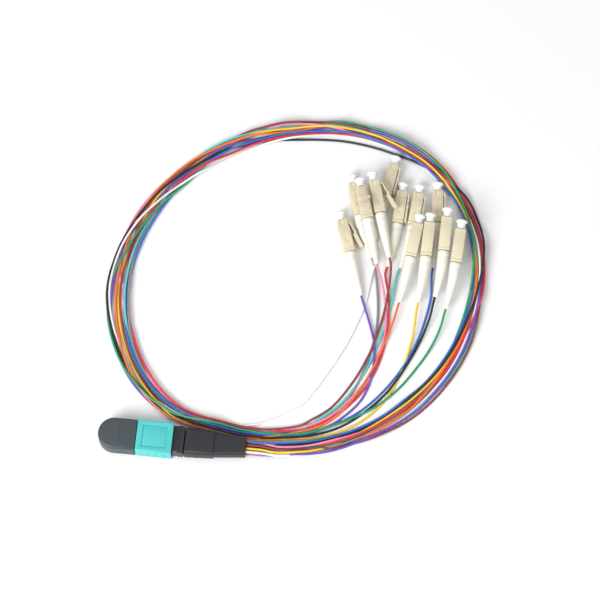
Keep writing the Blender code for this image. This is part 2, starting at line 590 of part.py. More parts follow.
def smooth_curve(points, steps):
    """A centripetal Catmull-Rom curve through points, sampled at an even distance."""
    points = np.array(points)
    ends = np.vstack([2 * points[0] - points[1], points, 2 * points[-1] - points[-2]])
    curve = []
    for i in range(len(points) - 1):
        corner = ends[i:i + 4]
        knots = np.concatenate([[0], np.cumsum(np.linalg.norm(np.diff(corner, axis=0), axis=1) ** 0.5)])
        for step in range(steps):
            t = knots[1] + (knots[2] - knots[1]) * step / steps
            level = corner
            for span in (1, 2, 3):
                level = [((knots[j + span] - t) * level[j] + (t - knots[j]) * level[j + 1])
                         / (knots[j + span] - knots[j]) for j in range(4 - span)]
            curve.append(level[0])
    curve.append(points[-1])
    curve = np.array(curve)
    along = np.concatenate([[0], np.cumsum(np.linalg.norm(np.diff(curve, axis=0), axis=1))])
    even = np.linspace(0, along[-1], round(along[-1] / STRAND_STEP) + 1)
    return np.column_stack([np.interp(even, along, curve[:, axis]) for axis in (0, 1)])


def ease(values):
    values = np.clip(values, 0, 1)
    return values * values * (3 - 2 * values)


def lay_fibres(plans, start_heights, end_heights):
    """Lay the fibres down one after the other, each resting on the surface and on those below it."""
    ground = HALF_FIBRE + FIBRE_LIFT
    laid = np.empty((0, 3))
    strands = {}
    for colour in LAYING_ORDER:
        plan = plans[colour]
        along = np.concatenate([[0], np.cumsum(np.linalg.norm(np.diff(plan, axis=0), axis=1))])
        left_over = along[-1] - along
        fall = 1 - ease((along - BOOT_MOUTH_DEPTH - 0.5 * BOOT_LEAD) / FIBRE_FALL)
        rise = 1 - ease((left_over - 3 * MM) / (0.6 * FIBRE_FALL))
        height = ground + (start_heights[colour] - ground) * fall + (end_heights[colour] - ground) * rise
        if len(laid):
            for i in range(0, len(plan), 100):
                apart = ((plan[i:i + 100, None, :] - laid[None, :, :2]) ** 2).sum(axis=2)
                room = np.where(apart < FIBRE_PITCH ** 2,
                                laid[:, 2] + np.sqrt(np.maximum(FIBRE_PITCH ** 2 - apart, 0)), 0)
                height[i:i + 100] = np.maximum(height[i:i + 100], room.max(axis=1))
        raised = height.copy()
        eased = height.copy()
        for result, source, pick in ((raised, height, np.max), (eased, raised, np.mean)):
            for i in range(len(plan)):
                reach = min(FIBRE_EASE, 0.5 * along[i], 0.5 * left_over[i])
                window = np.abs(along - along[i]) <= reach
                result[i] = pick(source[window])
        strand = np.column_stack([plan, eased])
        strands[colour] = strand
        laid = np.vstack([laid, strand])
    return strands


def main_points(strand, count):
    """The samples that follow a strand best: each one added is the one furthest off the line so far."""
    picks = list(range(0, len(strand), len(strand) // (count // 2)))
    picks[-1] = len(strand) - 1
    while len(picks) < count:
        worst, worst_off = None, -1
        for first, last in zip(picks, picks[1:]):
            chord = strand[last] - strand[first]
            offset = strand[first:last + 1] - strand[first]
            share = (offset @ chord) / (chord @ chord)
            off = np.linalg.norm(offset - share[:, None] * chord, axis=1)
            if off.max() > worst_off:
                worst, worst_off = first + int(off.argmax()), off.max()
        picks = sorted(picks + [worst])
    return picks


def fibre_tube(colour, strand):
    """One fibre as a round tube along its strand."""
    picks = main_points(strand, TUBE_STEPS)
    curve = bpy.data.curves.new("fibre_" + colour, "CURVE")
    curve.dimensions = "3D"
    curve.bevel_depth = HALF_FIBRE
    curve.bevel_resolution = 2
    curve.use_fill_caps = True
    line = curve.splines.new("POLY")
    line.points.add(len(picks) - 1)
    for point, pick in zip(line.points, picks):
        point.co = (*strand[pick], 1)
    curve.materials.append(material("fibre_" + colour, COLOURS[colour], 0.4))
    piece = bpy.data.objects.new("fibre_" + colour, curve)
    bpy.context.scene.collection.objects.link(piece)


def main():
    clear_scene()
    plug_body()
    plug_ferrule()
    coupling_sleeve()
    dust_cap()
    plug_boot()
    plans, start_heights, end_heights = {}, {}, {}
    for colour in COLOURS:
        entry, joint, matrix, stand_off = connector_places(colour)
        connector_body(colour, matrix, stand_off)
        slope = connector_tail(colour, entry, joint, matrix)
        connector_cap(colour, matrix)
        plans[colour] = smooth_curve(route(colour, entry, slope), CURVE_STEPS)
        start_heights[colour] = mouth_place(colour)[1]
        end_heights[colour] = entry.z
    for colour, strand in lay_fibres(plans, start_heights, end_heights).items():
        fibre_tube(colour, strand)


main()
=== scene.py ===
from math import cos, pi, radians, sin

import bmesh
import bpy
import numpy as np
from mathutils import Matrix, Vector


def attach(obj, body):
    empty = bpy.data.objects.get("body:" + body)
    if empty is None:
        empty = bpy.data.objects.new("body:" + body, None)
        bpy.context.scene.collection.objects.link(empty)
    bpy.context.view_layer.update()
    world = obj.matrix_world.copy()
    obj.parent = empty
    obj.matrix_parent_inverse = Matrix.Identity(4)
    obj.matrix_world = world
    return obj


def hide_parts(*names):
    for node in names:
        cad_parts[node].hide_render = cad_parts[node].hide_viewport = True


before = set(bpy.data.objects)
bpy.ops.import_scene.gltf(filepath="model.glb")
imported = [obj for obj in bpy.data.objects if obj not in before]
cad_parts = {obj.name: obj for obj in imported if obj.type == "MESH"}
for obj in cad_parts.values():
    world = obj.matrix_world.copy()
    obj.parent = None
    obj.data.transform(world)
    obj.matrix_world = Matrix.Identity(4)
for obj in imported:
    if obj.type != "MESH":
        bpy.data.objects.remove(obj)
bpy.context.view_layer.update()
mm = 0.001
fit = 0.3 * mm                    # clearance between touching pieces, as in the solids
tiny = 0.001 * mm                 # places nearer than this are the same
straight = 0.99                   # how squarely a face looks along an axis
print("frame loaded,", len(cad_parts), "solids")


# The camera looks down on the loop's middle. The loop lies turned a little against the plug

loopTurn = radians(5.6)
plugFromLoop = Vector((-55.6, -58.1))              # mm, in the loop's frame

cameraSettings = {
    "elevation": 70,              # degrees above the table
    "distance": 1.0,
    "lens": 152.9,
    "sensor": 36,
    "nearest": 0.05,
    "farthest": 20,
}


def onTable(point):               # a place in the loop's frame (mm) as x and y in the part's frame
    away = Vector(point[:2]) - plugFromLoop
    return Matrix.Rotation(loopTurn, 2) @ away * mm


def linked(name, data):
    made = bpy.data.objects.new(name, data)
    bpy.context.scene.collection.objects.link(made)
    return made


def makeCamera(settings):
    middle = Vector((*onTable((0, 0)), 0))
    tilt = radians(settings["elevation"])
    back = Vector((0, -cos(tilt), sin(tilt)))
    back.rotate(Matrix.Rotation(loopTurn, 3, "Z"))
    lens = bpy.data.cameras.new("camera")
    lens.lens = settings["lens"]
    lens.sensor_width = settings["sensor"]
    lens.clip_start = settings["nearest"]
    lens.clip_end = settings["farthest"]
    camera = linked("camera", lens)
    camera.location = middle + settings["distance"] * back
    camera.rotation_euler = (-back).to_track_quat("-Z", "Y").to_euler()
    bpy.context.scene.camera = camera


makeCamera(cameraSettings)
print("camera placed")


# Shader maths as plain sums

class Value:
    def __init__(self, wires, socket):
        self.wires = wires
        self.socket = socket

    def maths(self, operation, *values):
        return self.wires.node("ShaderNodeMath", {"operation": operation}, dict(enumerate(values)))

    def __add__(self, other):
        return self.maths("ADD", self, other)

    def __radd__(self, other):
        return self.maths("ADD", other, self)

    def __sub__(self, other):
        return self.maths("SUBTRACT", self, other)

    def __mul__(self, other):
        return self.maths("MULTIPLY", self, other)

    def __rmul__(self, other):
        return self.maths("MULTIPLY", other, self)


class Wires:
    def __init__(self, name):
        self.material = bpy.data.materials.new(name)
        self.material.use_nodes = True
        self.tree = self.material.node_tree
        self.shader = self.tree.nodes["Principled BSDF"]
        self.place = self.node("ShaderNodeTexCoord", out="Object")

    def node(self, kind, settings=None, inputs=None, out=0):
        made = self.tree.nodes.new(kind)
        for key, value in (settings or {}).items():
            setattr(made, key, value)
        for key, value in (inputs or {}).items():
            self.plug(made.inputs[key], value)
        return Value(self, made.outputs[out])

    def plug(self, socket, value):
        if isinstance(value, Value):
            self.tree.links.new(value.socket, socket)
        else:
            socket.default_value = value

    def stretched(self, scale):   # the object's own place, scaled along its axes
        return self.node("ShaderNodeMapping", {}, {"Vector": self.place, "Scale": scale})

    def noise(self, size, detail=2.0, roughness=0.5, distortion=0.0, place=None):
        return self.node("ShaderNodeTexNoise", {}, {
            "Vector": place or self.place, "Scale": 1 / size, "Detail": detail,
            "Roughness": roughness, "Distortion": distortion})

    def band(self, value, low, high):
        return self.node("ShaderNodeMapRange", {"interpolation_type": "SMOOTHSTEP"},
                         {"Value": value, "From Min": low, "From Max": high})

    def mix(self, share, first, second):
        return self.node("ShaderNodeMix", {"data_type": "RGBA"}, {0: share, 6: first, 7: second}, 2)

    def bump(self, height, distance):
        return self.node("ShaderNodeBump", {}, {"Height": height, "Distance": distance, "Strength": 1.0})

    def finish(self, constants=None, **links):
        for key, value in {**(constants or {}), **links}.items():
            self.plug(self.shader.inputs[key.replace("_", " ")], value)
        return self.material


def shade(colour, factor):
    return (*[min(part * factor, 1) for part in colour[:3]], 1)


# Moulded plastic: cloudy colour, a fine eroded grain, a few scuffs and dull handled patches
def moulded(name, colour, roughness, grain, depth, scuffs, cloud, dust=None, constants=None):
    wires = Wires(name)
    clouds = wires.noise(5 * mm, 4, 0.6)
    fine = wires.noise(grain, 3, 0.65)
    scratches = wires.noise(1.1 * mm, 6, 0.75, 0.6, wires.stretched((1, 5, 2)))
    worn = wires.band(scratches, 0.60, 0.72)
    tone = wires.mix(clouds, shade(colour, 1 - cloud), shade(colour, 1 + cloud))
    tone = wires.mix(wires.band(fine, 0.25, 0.8) * 0.5, tone, shade(colour, 1 - 1.6 * cloud))
    tone = wires.mix(worn * scuffs, tone, dust or shade(colour, 1.35))
    gloss = roughness - 0.10 + 0.14 * clouds + 0.10 * fine + 0.12 * (worn * scuffs)
    relief = fine + 0.5 * wires.noise(4 * grain, 2) - 0.7 * (worn * scuffs)
    return wires.finish(constants, Base_Color=tone, Roughness=gloss, Normal=wires.bump(relief, depth))


# Rubber: duller, with a coarser skin and dust that gathers in the grain
def rubbery(name, colour, roughness, dust):
    wires = Wires(name)
    clouds = wires.noise(4 * mm, 4, 0.6)
    skin = wires.noise(0.16 * mm, 4, 0.7)
    specks = wires.band(wires.noise(0.35 * mm, 2, 0.4), 0.66, 0.74)
    tone = wires.mix(clouds, shade(colour, 0.86), shade(colour, 1.12))
    tone = wires.mix(specks * 0.35, tone, dust)
    tone = wires.mix(wires.band(skin, 0.55, 0.8) * 0.25, tone, dust)
    gloss = roughness - 0.08 + 0.12 * clouds + 0.12 * skin
    return wires.finish(Base_Color=tone, Roughness=gloss, Normal=wires.bump(skin, 0.012 * mm))


# Extruded fibre jacket: satin, slightly uneven along its length, with fine drawn lines and faint rubs
def drawnJacket(name, colour):
    wires = Wires(name)
    along = wires.noise(7 * mm, 3, 0.5)
    fine = wires.noise(0.25 * mm, 3, 0.6)
    rubs = wires.band(wires.noise(2.2 * mm, 5, 0.7, 0.4), 0.62, 0.72)
    tone = wires.mix(along, shade(colour, 0.88), shade(colour, 1.1))
    tone = wires.mix(rubs * 0.22, tone, shade([0.5 + 0.5 * part for part in colour], 1.0))
    gloss = 0.25 + 0.10 * along + 0.08 * fine + 0.12 * rubs
    return wires.finish({"Coat Roughness": 0.25}, Base_Color=tone, Roughness=gloss, Coat_Weight=0.25 * along,
                        Normal=wires.bump(fine + 0.6 * along, 0.006 * mm))


# Colour, roughness, size and depth of the grain, scuffs, cloudiness, and for some the dust and fixed values
mouldedFinishes = {
    "dust cap black": ((0.052, 0.066, 0.078), 0.42, 0.12 * mm, 0.008 * mm, 0.35, 0.10),
    "sleeve aqua": ((0.075, 0.54, 0.54), 0.36, 0.10 * mm, 0.006 * mm, 0.25, 0.07),
    "housing black": ((0.016, 0.018, 0.022), 0.36, 0.10 * mm, 0.006 * mm, 0.30, 0.12),
    "ferrule filled plastic": ((0.055, 0.055, 0.06), 0.30, 0.05 * mm, 0.003 * mm, 0.2, 0.14),
    "connector beige": ((0.75, 0.67, 0.48), 0.36, 0.09 * mm, 0.005 * mm, 0.22, 0.05),
    "connector cap white": ((0.93, 0.93, 0.93), 0.40, 0.10 * mm, 0.004 * mm, 0.20, 0.03,
                            (0.75, 0.74, 0.70, 1),
                            {"Subsurface Weight": 0.12, "Subsurface Radius": [0.6 * mm] * 3}),
}

# Colour, roughness, and the dust in the grain
rubberyFinishes = {
    "boot black": ((0.014, 0.016, 0.021), 0.46, (0.10, 0.11, 0.12, 1)),
    "connector boot ivory": ((0.88, 0.86, 0.77), 0.46, (0.62, 0.57, 0.46, 1)),
}
fibreColours = {
    "blue": (0.035, 0.15, 0.56),
    "orange": (0.90, 0.17, 0.035),
    "green": (0.02, 0.33, 0.13),
    "brown": (0.27, 0.055, 0.05),
    "slate": (0.24, 0.25, 0.26),
    "white": (0.86, 0.86, 0.86),
    "red": (0.68, 0.035, 0.06),
    "black": (0.012, 0.014, 0.02),
    "yellow": (0.95, 0.60, 0.03),
    "violet": (0.17, 0.08, 0.50),
    "rose": (0.85, 0.28, 0.45),
    "aqua": (0.10, 0.62, 0.62),
}

finishes = {name: moulded(name, *looks) for name, looks in mouldedFinishes.items()}
finishes.update({name: rubbery(name, *looks) for name, looks in rubberyFinishes.items()})
fibreFinishes = {name: drawnJacket("fibre " + name, colour) for name, colour in fibreColours.items()}
print("finishes ready")


# Modelling steps, as by hand

def nothingSelected():
    if bpy.context.object and bpy.context.object.mode != "OBJECT":
        bpy.ops.object.mode_set(mode="OBJECT")
    bpy.ops.object.select_all(action="DESELECT")


def onlySelected(piece):
    nothingSelected()
    piece.select_set(True)
    bpy.context.view_layer.objects.active = piece


def named(piece, name):
    piece.name = name
    piece.data.name = name
    return piece


def settle():                     # the place goes into the mesh
    bpy.ops.object.transform_apply(location=True, rotation=True, scale=True)


def editAll(piece):               # edit mode, with everything selected
    onlySelected(piece)
    bpy.ops.object.mode_set(mode="EDIT")
    bpy.ops.mesh.select_all(action="SELECT")


def pick(piece, kind, test):      # edit mode, with only the faces or edges that pass the test selected
    onlySelected(piece)
    bpy.ops.object.mode_set(mode="EDIT")
    bpy.ops.mesh.select_mode(type=kind)
    bpy.ops.mesh.select_all(action="DESELECT")
    shape = bmesh.from_edit_mesh(piece.data)
    for part in shape.faces if kind == "FACE" else shape.edges:
        part.select_set(bool(test(part)))
    bmesh.update_edit_mesh(piece.data)


def backToObject():
    bpy.ops.object.mode_set(mode="OBJECT")


def facesOut(piece):
    editAll(piece)
    bpy.ops.mesh.normals_make_consistent(inside=False)
    backToObject()


def startBox(name, low, high):
    nothingSelected()
    low, high = Vector(low), Vector(high)
    bpy.ops.mesh.primitive_cube_add(size=1, location=(low + high) / 2)
    box = named(bpy.context.object, name)
    box.scale = high - low
    settle()
    return box


def startRod(name, x, radius, length, sides, centre=(0, 0)):       # a round rod along X
    nothingSelected()
    bpy.ops.mesh.primitive_cylinder_add(vertices=sides, radius=radius, depth=length,
                                        location=(x + length / 2, *centre), rotation=(0, pi / 2, 0))
    settle()
    return named(bpy.context.object, name)


def startDisc(name, x, radius):   # a flat round face across X
    nothingSelected()
    bpy.ops.mesh.primitive_circle_add(vertices=40, radius=radius, fill_type="NGON",
                                      location=(x, 0, 0), rotation=(0, pi / 2, 0))
    settle()
    return named(bpy.context.object, name)


def startPlate(name, x, width, height, middle, corner, segments=6):     # a flat rounded rectangle across X
    nothingSelected()
    bpy.ops.mesh.primitive_plane_add(size=1, location=(x, 0, middle), rotation=(0, pi / 2, 0))
    plate = named(bpy.context.object, name)
    plate.scale = (height, width, 1)
    settle()
    if corner:
        editAll(plate)
        bpy.ops.mesh.bevel(offset=corner, segments=segments, affect="VERTICES")
        backToObject()
    return plate


# Grow a body along X from its flat start: each section is (x, width, height, middle height)
def growSections(piece, sections):
    pick(piece, "FACE", lambda face: True)
    x, width, height, middle = sections[0]
    for newX, newWidth, newHeight, newMiddle in sections[1:]:
        bpy.ops.mesh.extrude_region_move(
            TRANSFORM_OT_translate={"value": (newX - x, 0, newMiddle - middle)})
        bpy.ops.transform.resize(value=(1, newWidth / width, newHeight / height),
                                 center_override=(newX, 0, newMiddle))
        x, width, height, middle = newX, newWidth, newHeight, newMiddle
    facesOut(piece)


def growTurned(piece, profile):   # the same for a round or square body: each section is (x, radius)
    growSections(piece, [(x, radius, radius, 0) for x, radius in profile])


def applied(piece, kind, **settings):
    onlySelected(piece)
    change = piece.modifiers.new(kind, kind)
    for key, value in settings.items():
        setattr(change, key, value)
    bpy.ops.object.modifier_apply(modifier=change.name)


def changedBy(piece, other, operation):            # cut the other body out, or melt it on
    applied(piece, "BOOLEAN", operation=operation, solver="EXACT", object=other)
    bpy.data.objects.remove(other, do_unlink=True)


def evenSpans(start, first, pitch, count, width):  # equal stretches along X
    middles = [start + first + pitch * i for i in range(count)]
    return [(middle - width / 2, middle + width / 2) for middle in middles]


# Boxes cut out of both flanks or melted on, along stretches of X, as deep inwards as outwards
def onFlanks(piece, operation, spans, flank, depth, low, high):
    for middle in (-flank, flank):
        for first, last in spans:
            box = startBox("box", (first, middle - depth, low), (last, middle + depth, high))
            changedBy(piece, box, operation)


def softEdges(piece, width, angle=50):
    applied(piece, "BEVEL", width=width, segments=2, limit_method="ANGLE", angle_limit=radians(angle),
            use_clamp_overlap=True, miter_outer="MITER_ARC", harden_normals=False)


def smoothed(piece, finish, angle=32):
    onlySelected(piece)
    bpy.ops.object.shade_smooth_by_angle(angle=radians(angle))
    piece.data.materials.clear()
    piece.data.materials.append(finish)
    return piece


def joined(name, pieces):
    nothingSelected()
    for piece in pieces:
        piece.select_set(True)
    bpy.context.view_layer.objects.active = pieces[0]
    bpy.ops.object.join()
    return named(bpy.context.object, name)


def copied(piece, name, matrix=None):
    made = piece.copy()
    made.data = piece.data.copy()
    bpy.context.scene.collection.objects.link(made)
    if matrix is not None:
        made.data.transform(matrix)
    return named(made, name)


# Trunk plug

plug = {
    "width": 12.4 * mm,
    "height": 7.6 * mm,
    "sleeveLength": 13.8 * mm,
    "sleeveWall": 0.6 * mm,
    "sleeveTravel": 2.2 * mm,
    "edge": 0.45 * mm,
    "panelLength": 9.4 * mm,
    "panelWidth": 8.6 * mm,
    "panelDepth": 0.2 * mm,
    "panelGroove": 0.22 * mm,
    "grooveDepth": 0.14 * mm,
    "sleeveRibs": (-4.5 * mm, 3.0 * mm, 4, 0.6 * mm),       # first, pitch, number and width
    "sleeveRibDepth": 0.09 * mm,
    "sleeveRibHeights": (1.5 * mm, 5.7 * mm),
    "collarLength": 2.0 * mm,
    "collarWidth": 11.0 * mm,
    "collarHeight": 6.6 * mm,
    "noseReach": 6.5 * mm,
    "ferruleWidth": 6.4 * mm,
    "ferruleHeight": 2.5 * mm,
    "ferruleProud": 1.2 * mm,
    "ferruleSeat": 4.0 * mm,
    "guideHole": 0.35 * mm,
    "guideDepth": 1.5 * mm,
    "guidePitch": 4.6 * mm,
    "glassPitch": 0.25 * mm,
    "glassRadius": 0.0625 * mm,
    "glassLength": 0.1 * mm,
    "glassProud": 0.015 * mm,
    "capLength": 14.6 * mm,
    "capRound": 1.05 * mm,
    "capLine": (-6.6 * mm, 0, 1, 0.44 * mm),                # place behind the mouth and width
    "capLineReach": 4.1 * mm,
    "capLineDepth": 0.12 * mm,
    "capNotches": (-3.2 * mm, -1.5 * mm, 3, 0.5 * mm),      # first, pitch, number and width
    "capNotchDepth": 0.16 * mm,
    "capNotchHeights": (2.0 * mm, 5.6 * mm),
}

# For each solid of the plug: the body it moves with, its finish and how soft its edges are
plugPieces = {
    "dust_cap": ("trunk_cap", "dust cap black", 0.09 * mm),
    "coupling_sleeve": ("sleeve", "sleeve aqua", 0.07 * mm),
    "plug_body": ("loom", "housing black", 0.08 * mm),
    "plug_ferrule": ("loom", "ferrule filled plastic", 0.1 * mm),
    "plug_boot": ("loom", "boot black", 0.08 * mm),
}
plugMiddle = plug["height"] / 2
coreWidth = plug["width"] - 2 * (plug["sleeveWall"] + fit)
coreHeight = plug["height"] - 2 * (plug["sleeveWall"] + fit)
sleeveFront = -plug["sleeveLength"] / 2
sleeveRear = plug["sleeveLength"] / 2
collarFront = sleeveRear + plug["sleeveTravel"] + fit
bootFront = collarFront + plug["collarLength"] + fit


def finished(piece, node):
    body, finish, softness = plugPieces[node]
    softEdges(piece, softness)
    smoothed(piece, finishes[finish])
    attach(piece, body)
    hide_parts(node)


def makeDustCap():
    radius = plug["width"] / 2
    mouth = sleeveFront - fit
    turnX = mouth - plug["capLength"] + radius
    nothingSelected()
    bpy.ops.mesh.primitive_circle_add(vertices=96, radius=radius, fill_type="NGON", location=(turnX, 0, 0))
    settle()
    cap = named(bpy.context.object, "plugCap")
    editAll(cap)
    bpy.ops.mesh.bisect(plane_co=(turnX, 0, 0), plane_no=(1, 0, 0), clear_outer=True, use_fill=False)
    pick(cap, "EDGE", lambda edge: all(abs(end.co.x - turnX) < tiny for end in edge.verts))
    bpy.ops.mesh.extrude_edges_move(TRANSFORM_OT_translate={"value": (mouth - turnX, 0, 0)})
    bpy.ops.mesh.select_all(action="SELECT")
    bpy.ops.mesh.remove_doubles(threshold=0.1 * tiny)
    bpy.ops.mesh.dissolve_limited(angle_limit=radians(1))
    bpy.ops.mesh.select_all(action="SELECT")
    bpy.ops.mesh.extrude_region_move(TRANSFORM_OT_translate={"value": (0, 0, plug["height"])})
    facesOut(cap)
    # the upper and lower rims are rounded, the mouth stays crisp
    pick(cap, "EDGE", lambda edge: abs(edge.verts[0].co.z - edge.verts[1].co.z) < tiny
         and not all(abs(end.co.x - mouth) < tiny for end in edge.verts))
    bpy.ops.mesh.bevel(offset=plug["capRound"], segments=5, profile=0.5)
    backToObject()
    depth = plug["noseReach"] + plug["ferruleProud"] + fit
    pocket = startBox("pocket", (mouth - depth, -coreWidth / 2, plugMiddle - coreHeight / 2),
                      (mouth + fit, coreWidth / 2, plugMiddle + coreHeight / 2))
    changedBy(cap, pocket, "DIFFERENCE")
    # a fine line across, raised on top and sunk below, and grip notches on both flanks
    front, rear = evenSpans(mouth, *plug["capLine"])[0]
    reach, deep = plug["capLineReach"], plug["capLineDepth"]
    for z, operation in ((0, "DIFFERENCE"), (plug["height"], "UNION")):
        changedBy(cap, startBox("line", (front, -reach, z - deep), (rear, reach, z + deep)), operation)
    onFlanks(cap, "DIFFERENCE", evenSpans(mouth, *plug["capNotches"]), radius, plug["capNotchDepth"],
             *plug["capNotchHeights"])
    finished(cap, "dust_cap")


def makeSleeve():
    width, height, wall = plug["width"], plug["height"], plug["sleeveWall"]
    sleeve = startBox("plugSleeve", (sleeveFront, -width / 2, 0), (sleeveRear, width / 2, height))
    pick(sleeve, "EDGE", lambda edge: abs(edge.verts[0].co.x - edge.verts[1].co.x) > tiny)
    bpy.ops.mesh.bevel(offset=plug["edge"], segments=4)
    # the recessed panel on top, with a fine groove round its floor
    pick(sleeve, "FACE", lambda face: face.normal.z > straight)
    inset = (width - 2 * plug["edge"] - plug["panelWidth"]) / 2
    bpy.ops.mesh.inset(thickness=inset)
    bpy.ops.transform.resize(value=(plug["panelLength"] / (plug["sleeveLength"] - 2 * inset), 1, 1),
                             center_override=(0, 0, height))
    bpy.ops.mesh.extrude_region_move(TRANSFORM_OT_translate={"value": (0, 0, -plug["panelDepth"])})
    bpy.ops.mesh.inset(thickness=plug["panelGroove"])
    backToObject()
    floorHeight = height - plug["panelDepth"]
    pick(sleeve, "FACE", lambda face: abs(face.calc_center_median().z - floorHeight) < tiny
         and face.normal.z > straight and face.calc_area() < 0.5 * plug["panelLength"] * plug["panelWidth"])
    bpy.ops.mesh.extrude_region_move(TRANSFORM_OT_translate={"value": (0, 0, -plug["grooveDepth"])})
    backToObject()
    bore = startBox("bore", (sleeveFront - fit, wall - width / 2, wall),
                    (sleeveRear + fit, width / 2 - wall, height - wall))
    changedBy(sleeve, bore, "DIFFERENCE")
    onFlanks(sleeve, "DIFFERENCE", evenSpans(0, *plug["sleeveRibs"]), width / 2, plug["sleeveRibDepth"],
             *plug["sleeveRibHeights"])
    finished(sleeve, "coupling_sleeve")


# The housing inside the sleeve, from its nose in the cap to the collar that the boot sits behind
def makeCore():
    front = sleeveFront - plug["noseReach"]
    length, width, height = plug["collarLength"], plug["collarWidth"], plug["collarHeight"]
    nose = ((front, 1.2 * mm, 1.0 * mm), (front + 0.6 * mm, 0.6 * mm, 0.4 * mm),
            (sleeveFront - fit, 0.6 * mm, 0.4 * mm), (sleeveFront, 0, 0), (collarFront, 0, 0))
    collar = ((0, 0), (0.55 * mm, 0), (0.65 * mm, 0.3 * mm), (length - 0.1 * mm, 0.3 * mm),
              (length, 0.7 * mm))
    sections = [(x, coreWidth - narrower, coreHeight - lower, plugMiddle) for x, narrower, lower in nose]
    sections += [(collarFront + along, width - less, height - less, plugMiddle) for along, less in collar]
    core = startPlate("plugCore", *sections[0], 0.5 * mm)
    growSections(core, sections)
    half, tall = plug["ferruleWidth"] / 2 + fit, plug["ferruleHeight"] / 2 + fit
    seat = startBox("seat", (front - fit, -half, plugMiddle - tall),
                    (front + plug["ferruleSeat"], half, plugMiddle + tall))
    changedBy(core, seat, "DIFFERENCE")
    onFlanks(core, "DIFFERENCE", [(front + 2.4 * mm, front + 4.6 * mm)], coreWidth / 2 - 0.3 * mm, 0.35 * mm,
             plugMiddle - 1.2 * mm, plugMiddle + 1.2 * mm)      # latch pockets in the nose
    finished(core, "plug_body")


def makeFerrule():
    front = sleeveFront - plug["noseReach"] - plug["ferruleProud"]
    rear = sleeveFront - plug["noseReach"] + plug["ferruleSeat"] - fit
    half, tall = plug["ferruleWidth"] / 2, plug["ferruleHeight"] / 2
    ferrule = startBox("plugFerrule", (front, -half, plugMiddle - tall), (rear, half, plugMiddle + tall))
    for side in (-1, 1):
        hole = startRod("hole", front - fit, plug["guideHole"], plug["guideDepth"] + fit, 32,
                        (side * plug["guidePitch"] / 2, plugMiddle))
        changedBy(ferrule, hole, "DIFFERENCE")
    finished(ferrule, "plug_ferrule")
    glass = Wires("fibre glass")
    # painted glints: this noise mixes near-white spots into the glass's colour in place of reflected
    # sparkle, and also varies its gloss
    sparkle = glass.noise(0.05 * mm, 2)
    tone = glass.mix(sparkle, (0.55, 0.65, 0.68, 1), (0.85, 0.9, 0.92, 1))
    glass.finish(Base_Color=tone, Roughness=0.08 + 0.08 * sparkle)
    proud, radius, length = plug["glassProud"], plug["glassRadius"], plug["glassLength"]
    ends = []
    for i in range(len(fibreColours)):
        place = ((i - (len(fibreColours) - 1) / 2) * plug["glassPitch"], plugMiddle)
        ends.append(startRod("fibreEnd", front - proud, radius, length, 12, place))
    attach(smoothed(joined("plugFibreEnds", ends), glass.material), "loom")


boot = {
    "gripLength": 11.2 * mm,
    "tailLength": 12.2 * mm,
    "frontWidth": 11.0 * mm,
    "frontHeight": 6.8 * mm,
    "narrowing": 0.8 * mm,
    "step": 0.8 * mm,
    "wall": 0.75 * mm,
    "mouthDepth": 2.0 * mm,
    "corner": 1.4 * mm,
    "lead": 6.0 * mm,
    "columns": 4,
    "rows": 3,
    "mouthPitch": 1.35 * mm,
}
fibreDiameter = 0.9 * mm
bootRear = bootFront + boot["gripLength"] + boot["tailLength"]
mouthWidth = (boot["columns"] - 1) * boot["mouthPitch"] + fibreDiameter + 2 * fit
mouthHeight = (boot["rows"] - 1) * boot["mouthPitch"] + fibreDiameter + 2 * fit


def makeBoot():
    stepX = bootFront + boot["gripLength"]
    wide, tall = boot["frontWidth"], boot["frontHeight"]
    gripWide, gripTall = wide - boot["narrowing"], tall - boot["narrowing"]
    rearWide, rearTall = mouthWidth + 2 * boot["wall"], mouthHeight + 2 * boot["wall"]
    sections = [
        (bootFront, wide - 0.5 * mm, tall - 0.5 * mm, plugMiddle),
        (bootFront + 0.25 * mm, wide, tall, plugMiddle),
        (bootFront + 0.9 * boot["gripLength"], gripWide, gripTall, plugMiddle),
        (stepX - 0.15 * mm, gripWide, gripTall, plugMiddle),
        (stepX, gripWide - 0.2 * mm, gripTall - 0.2 * mm, plugMiddle),
        (stepX + 0.3 * mm, gripWide - boot["step"], gripTall - boot["step"], plugMiddle),
        (bootRear - 0.2 * mm, rearWide, rearTall, plugMiddle),
        (bootRear, rearWide - 0.3 * mm, rearTall - 0.3 * mm, plugMiddle),
    ]
    body = startPlate("plugBoot", *sections[0], boot["corner"])
    growSections(body, sections)
    mouth = startPlate("mouth", bootRear + fit, mouthWidth, mouthHeight, plugMiddle, 0.3 * mm)
    growSections(mouth, [(bootRear + fit, mouthWidth, mouthHeight, plugMiddle),
                         (bootRear - boot["mouthDepth"], mouthWidth, mouthHeight, plugMiddle)])
    changedBy(body, mouth, "DIFFERENCE")
    onFlanks(body, "UNION", [(bootFront + 4.2 * mm, bootFront + 4.65 * mm)], wide / 2 - 0.2 * mm, 0.25 * mm,
             plugMiddle - 1.5 * mm, plugMiddle + 1.5 * mm)      # one short grip rib on each flank
    finished(body, "plug_boot")


makeDustCap()
makeSleeve()
makeCore()
makeFerrule()
makeBoot()
print("trunk plug modelled")


# Small connectors

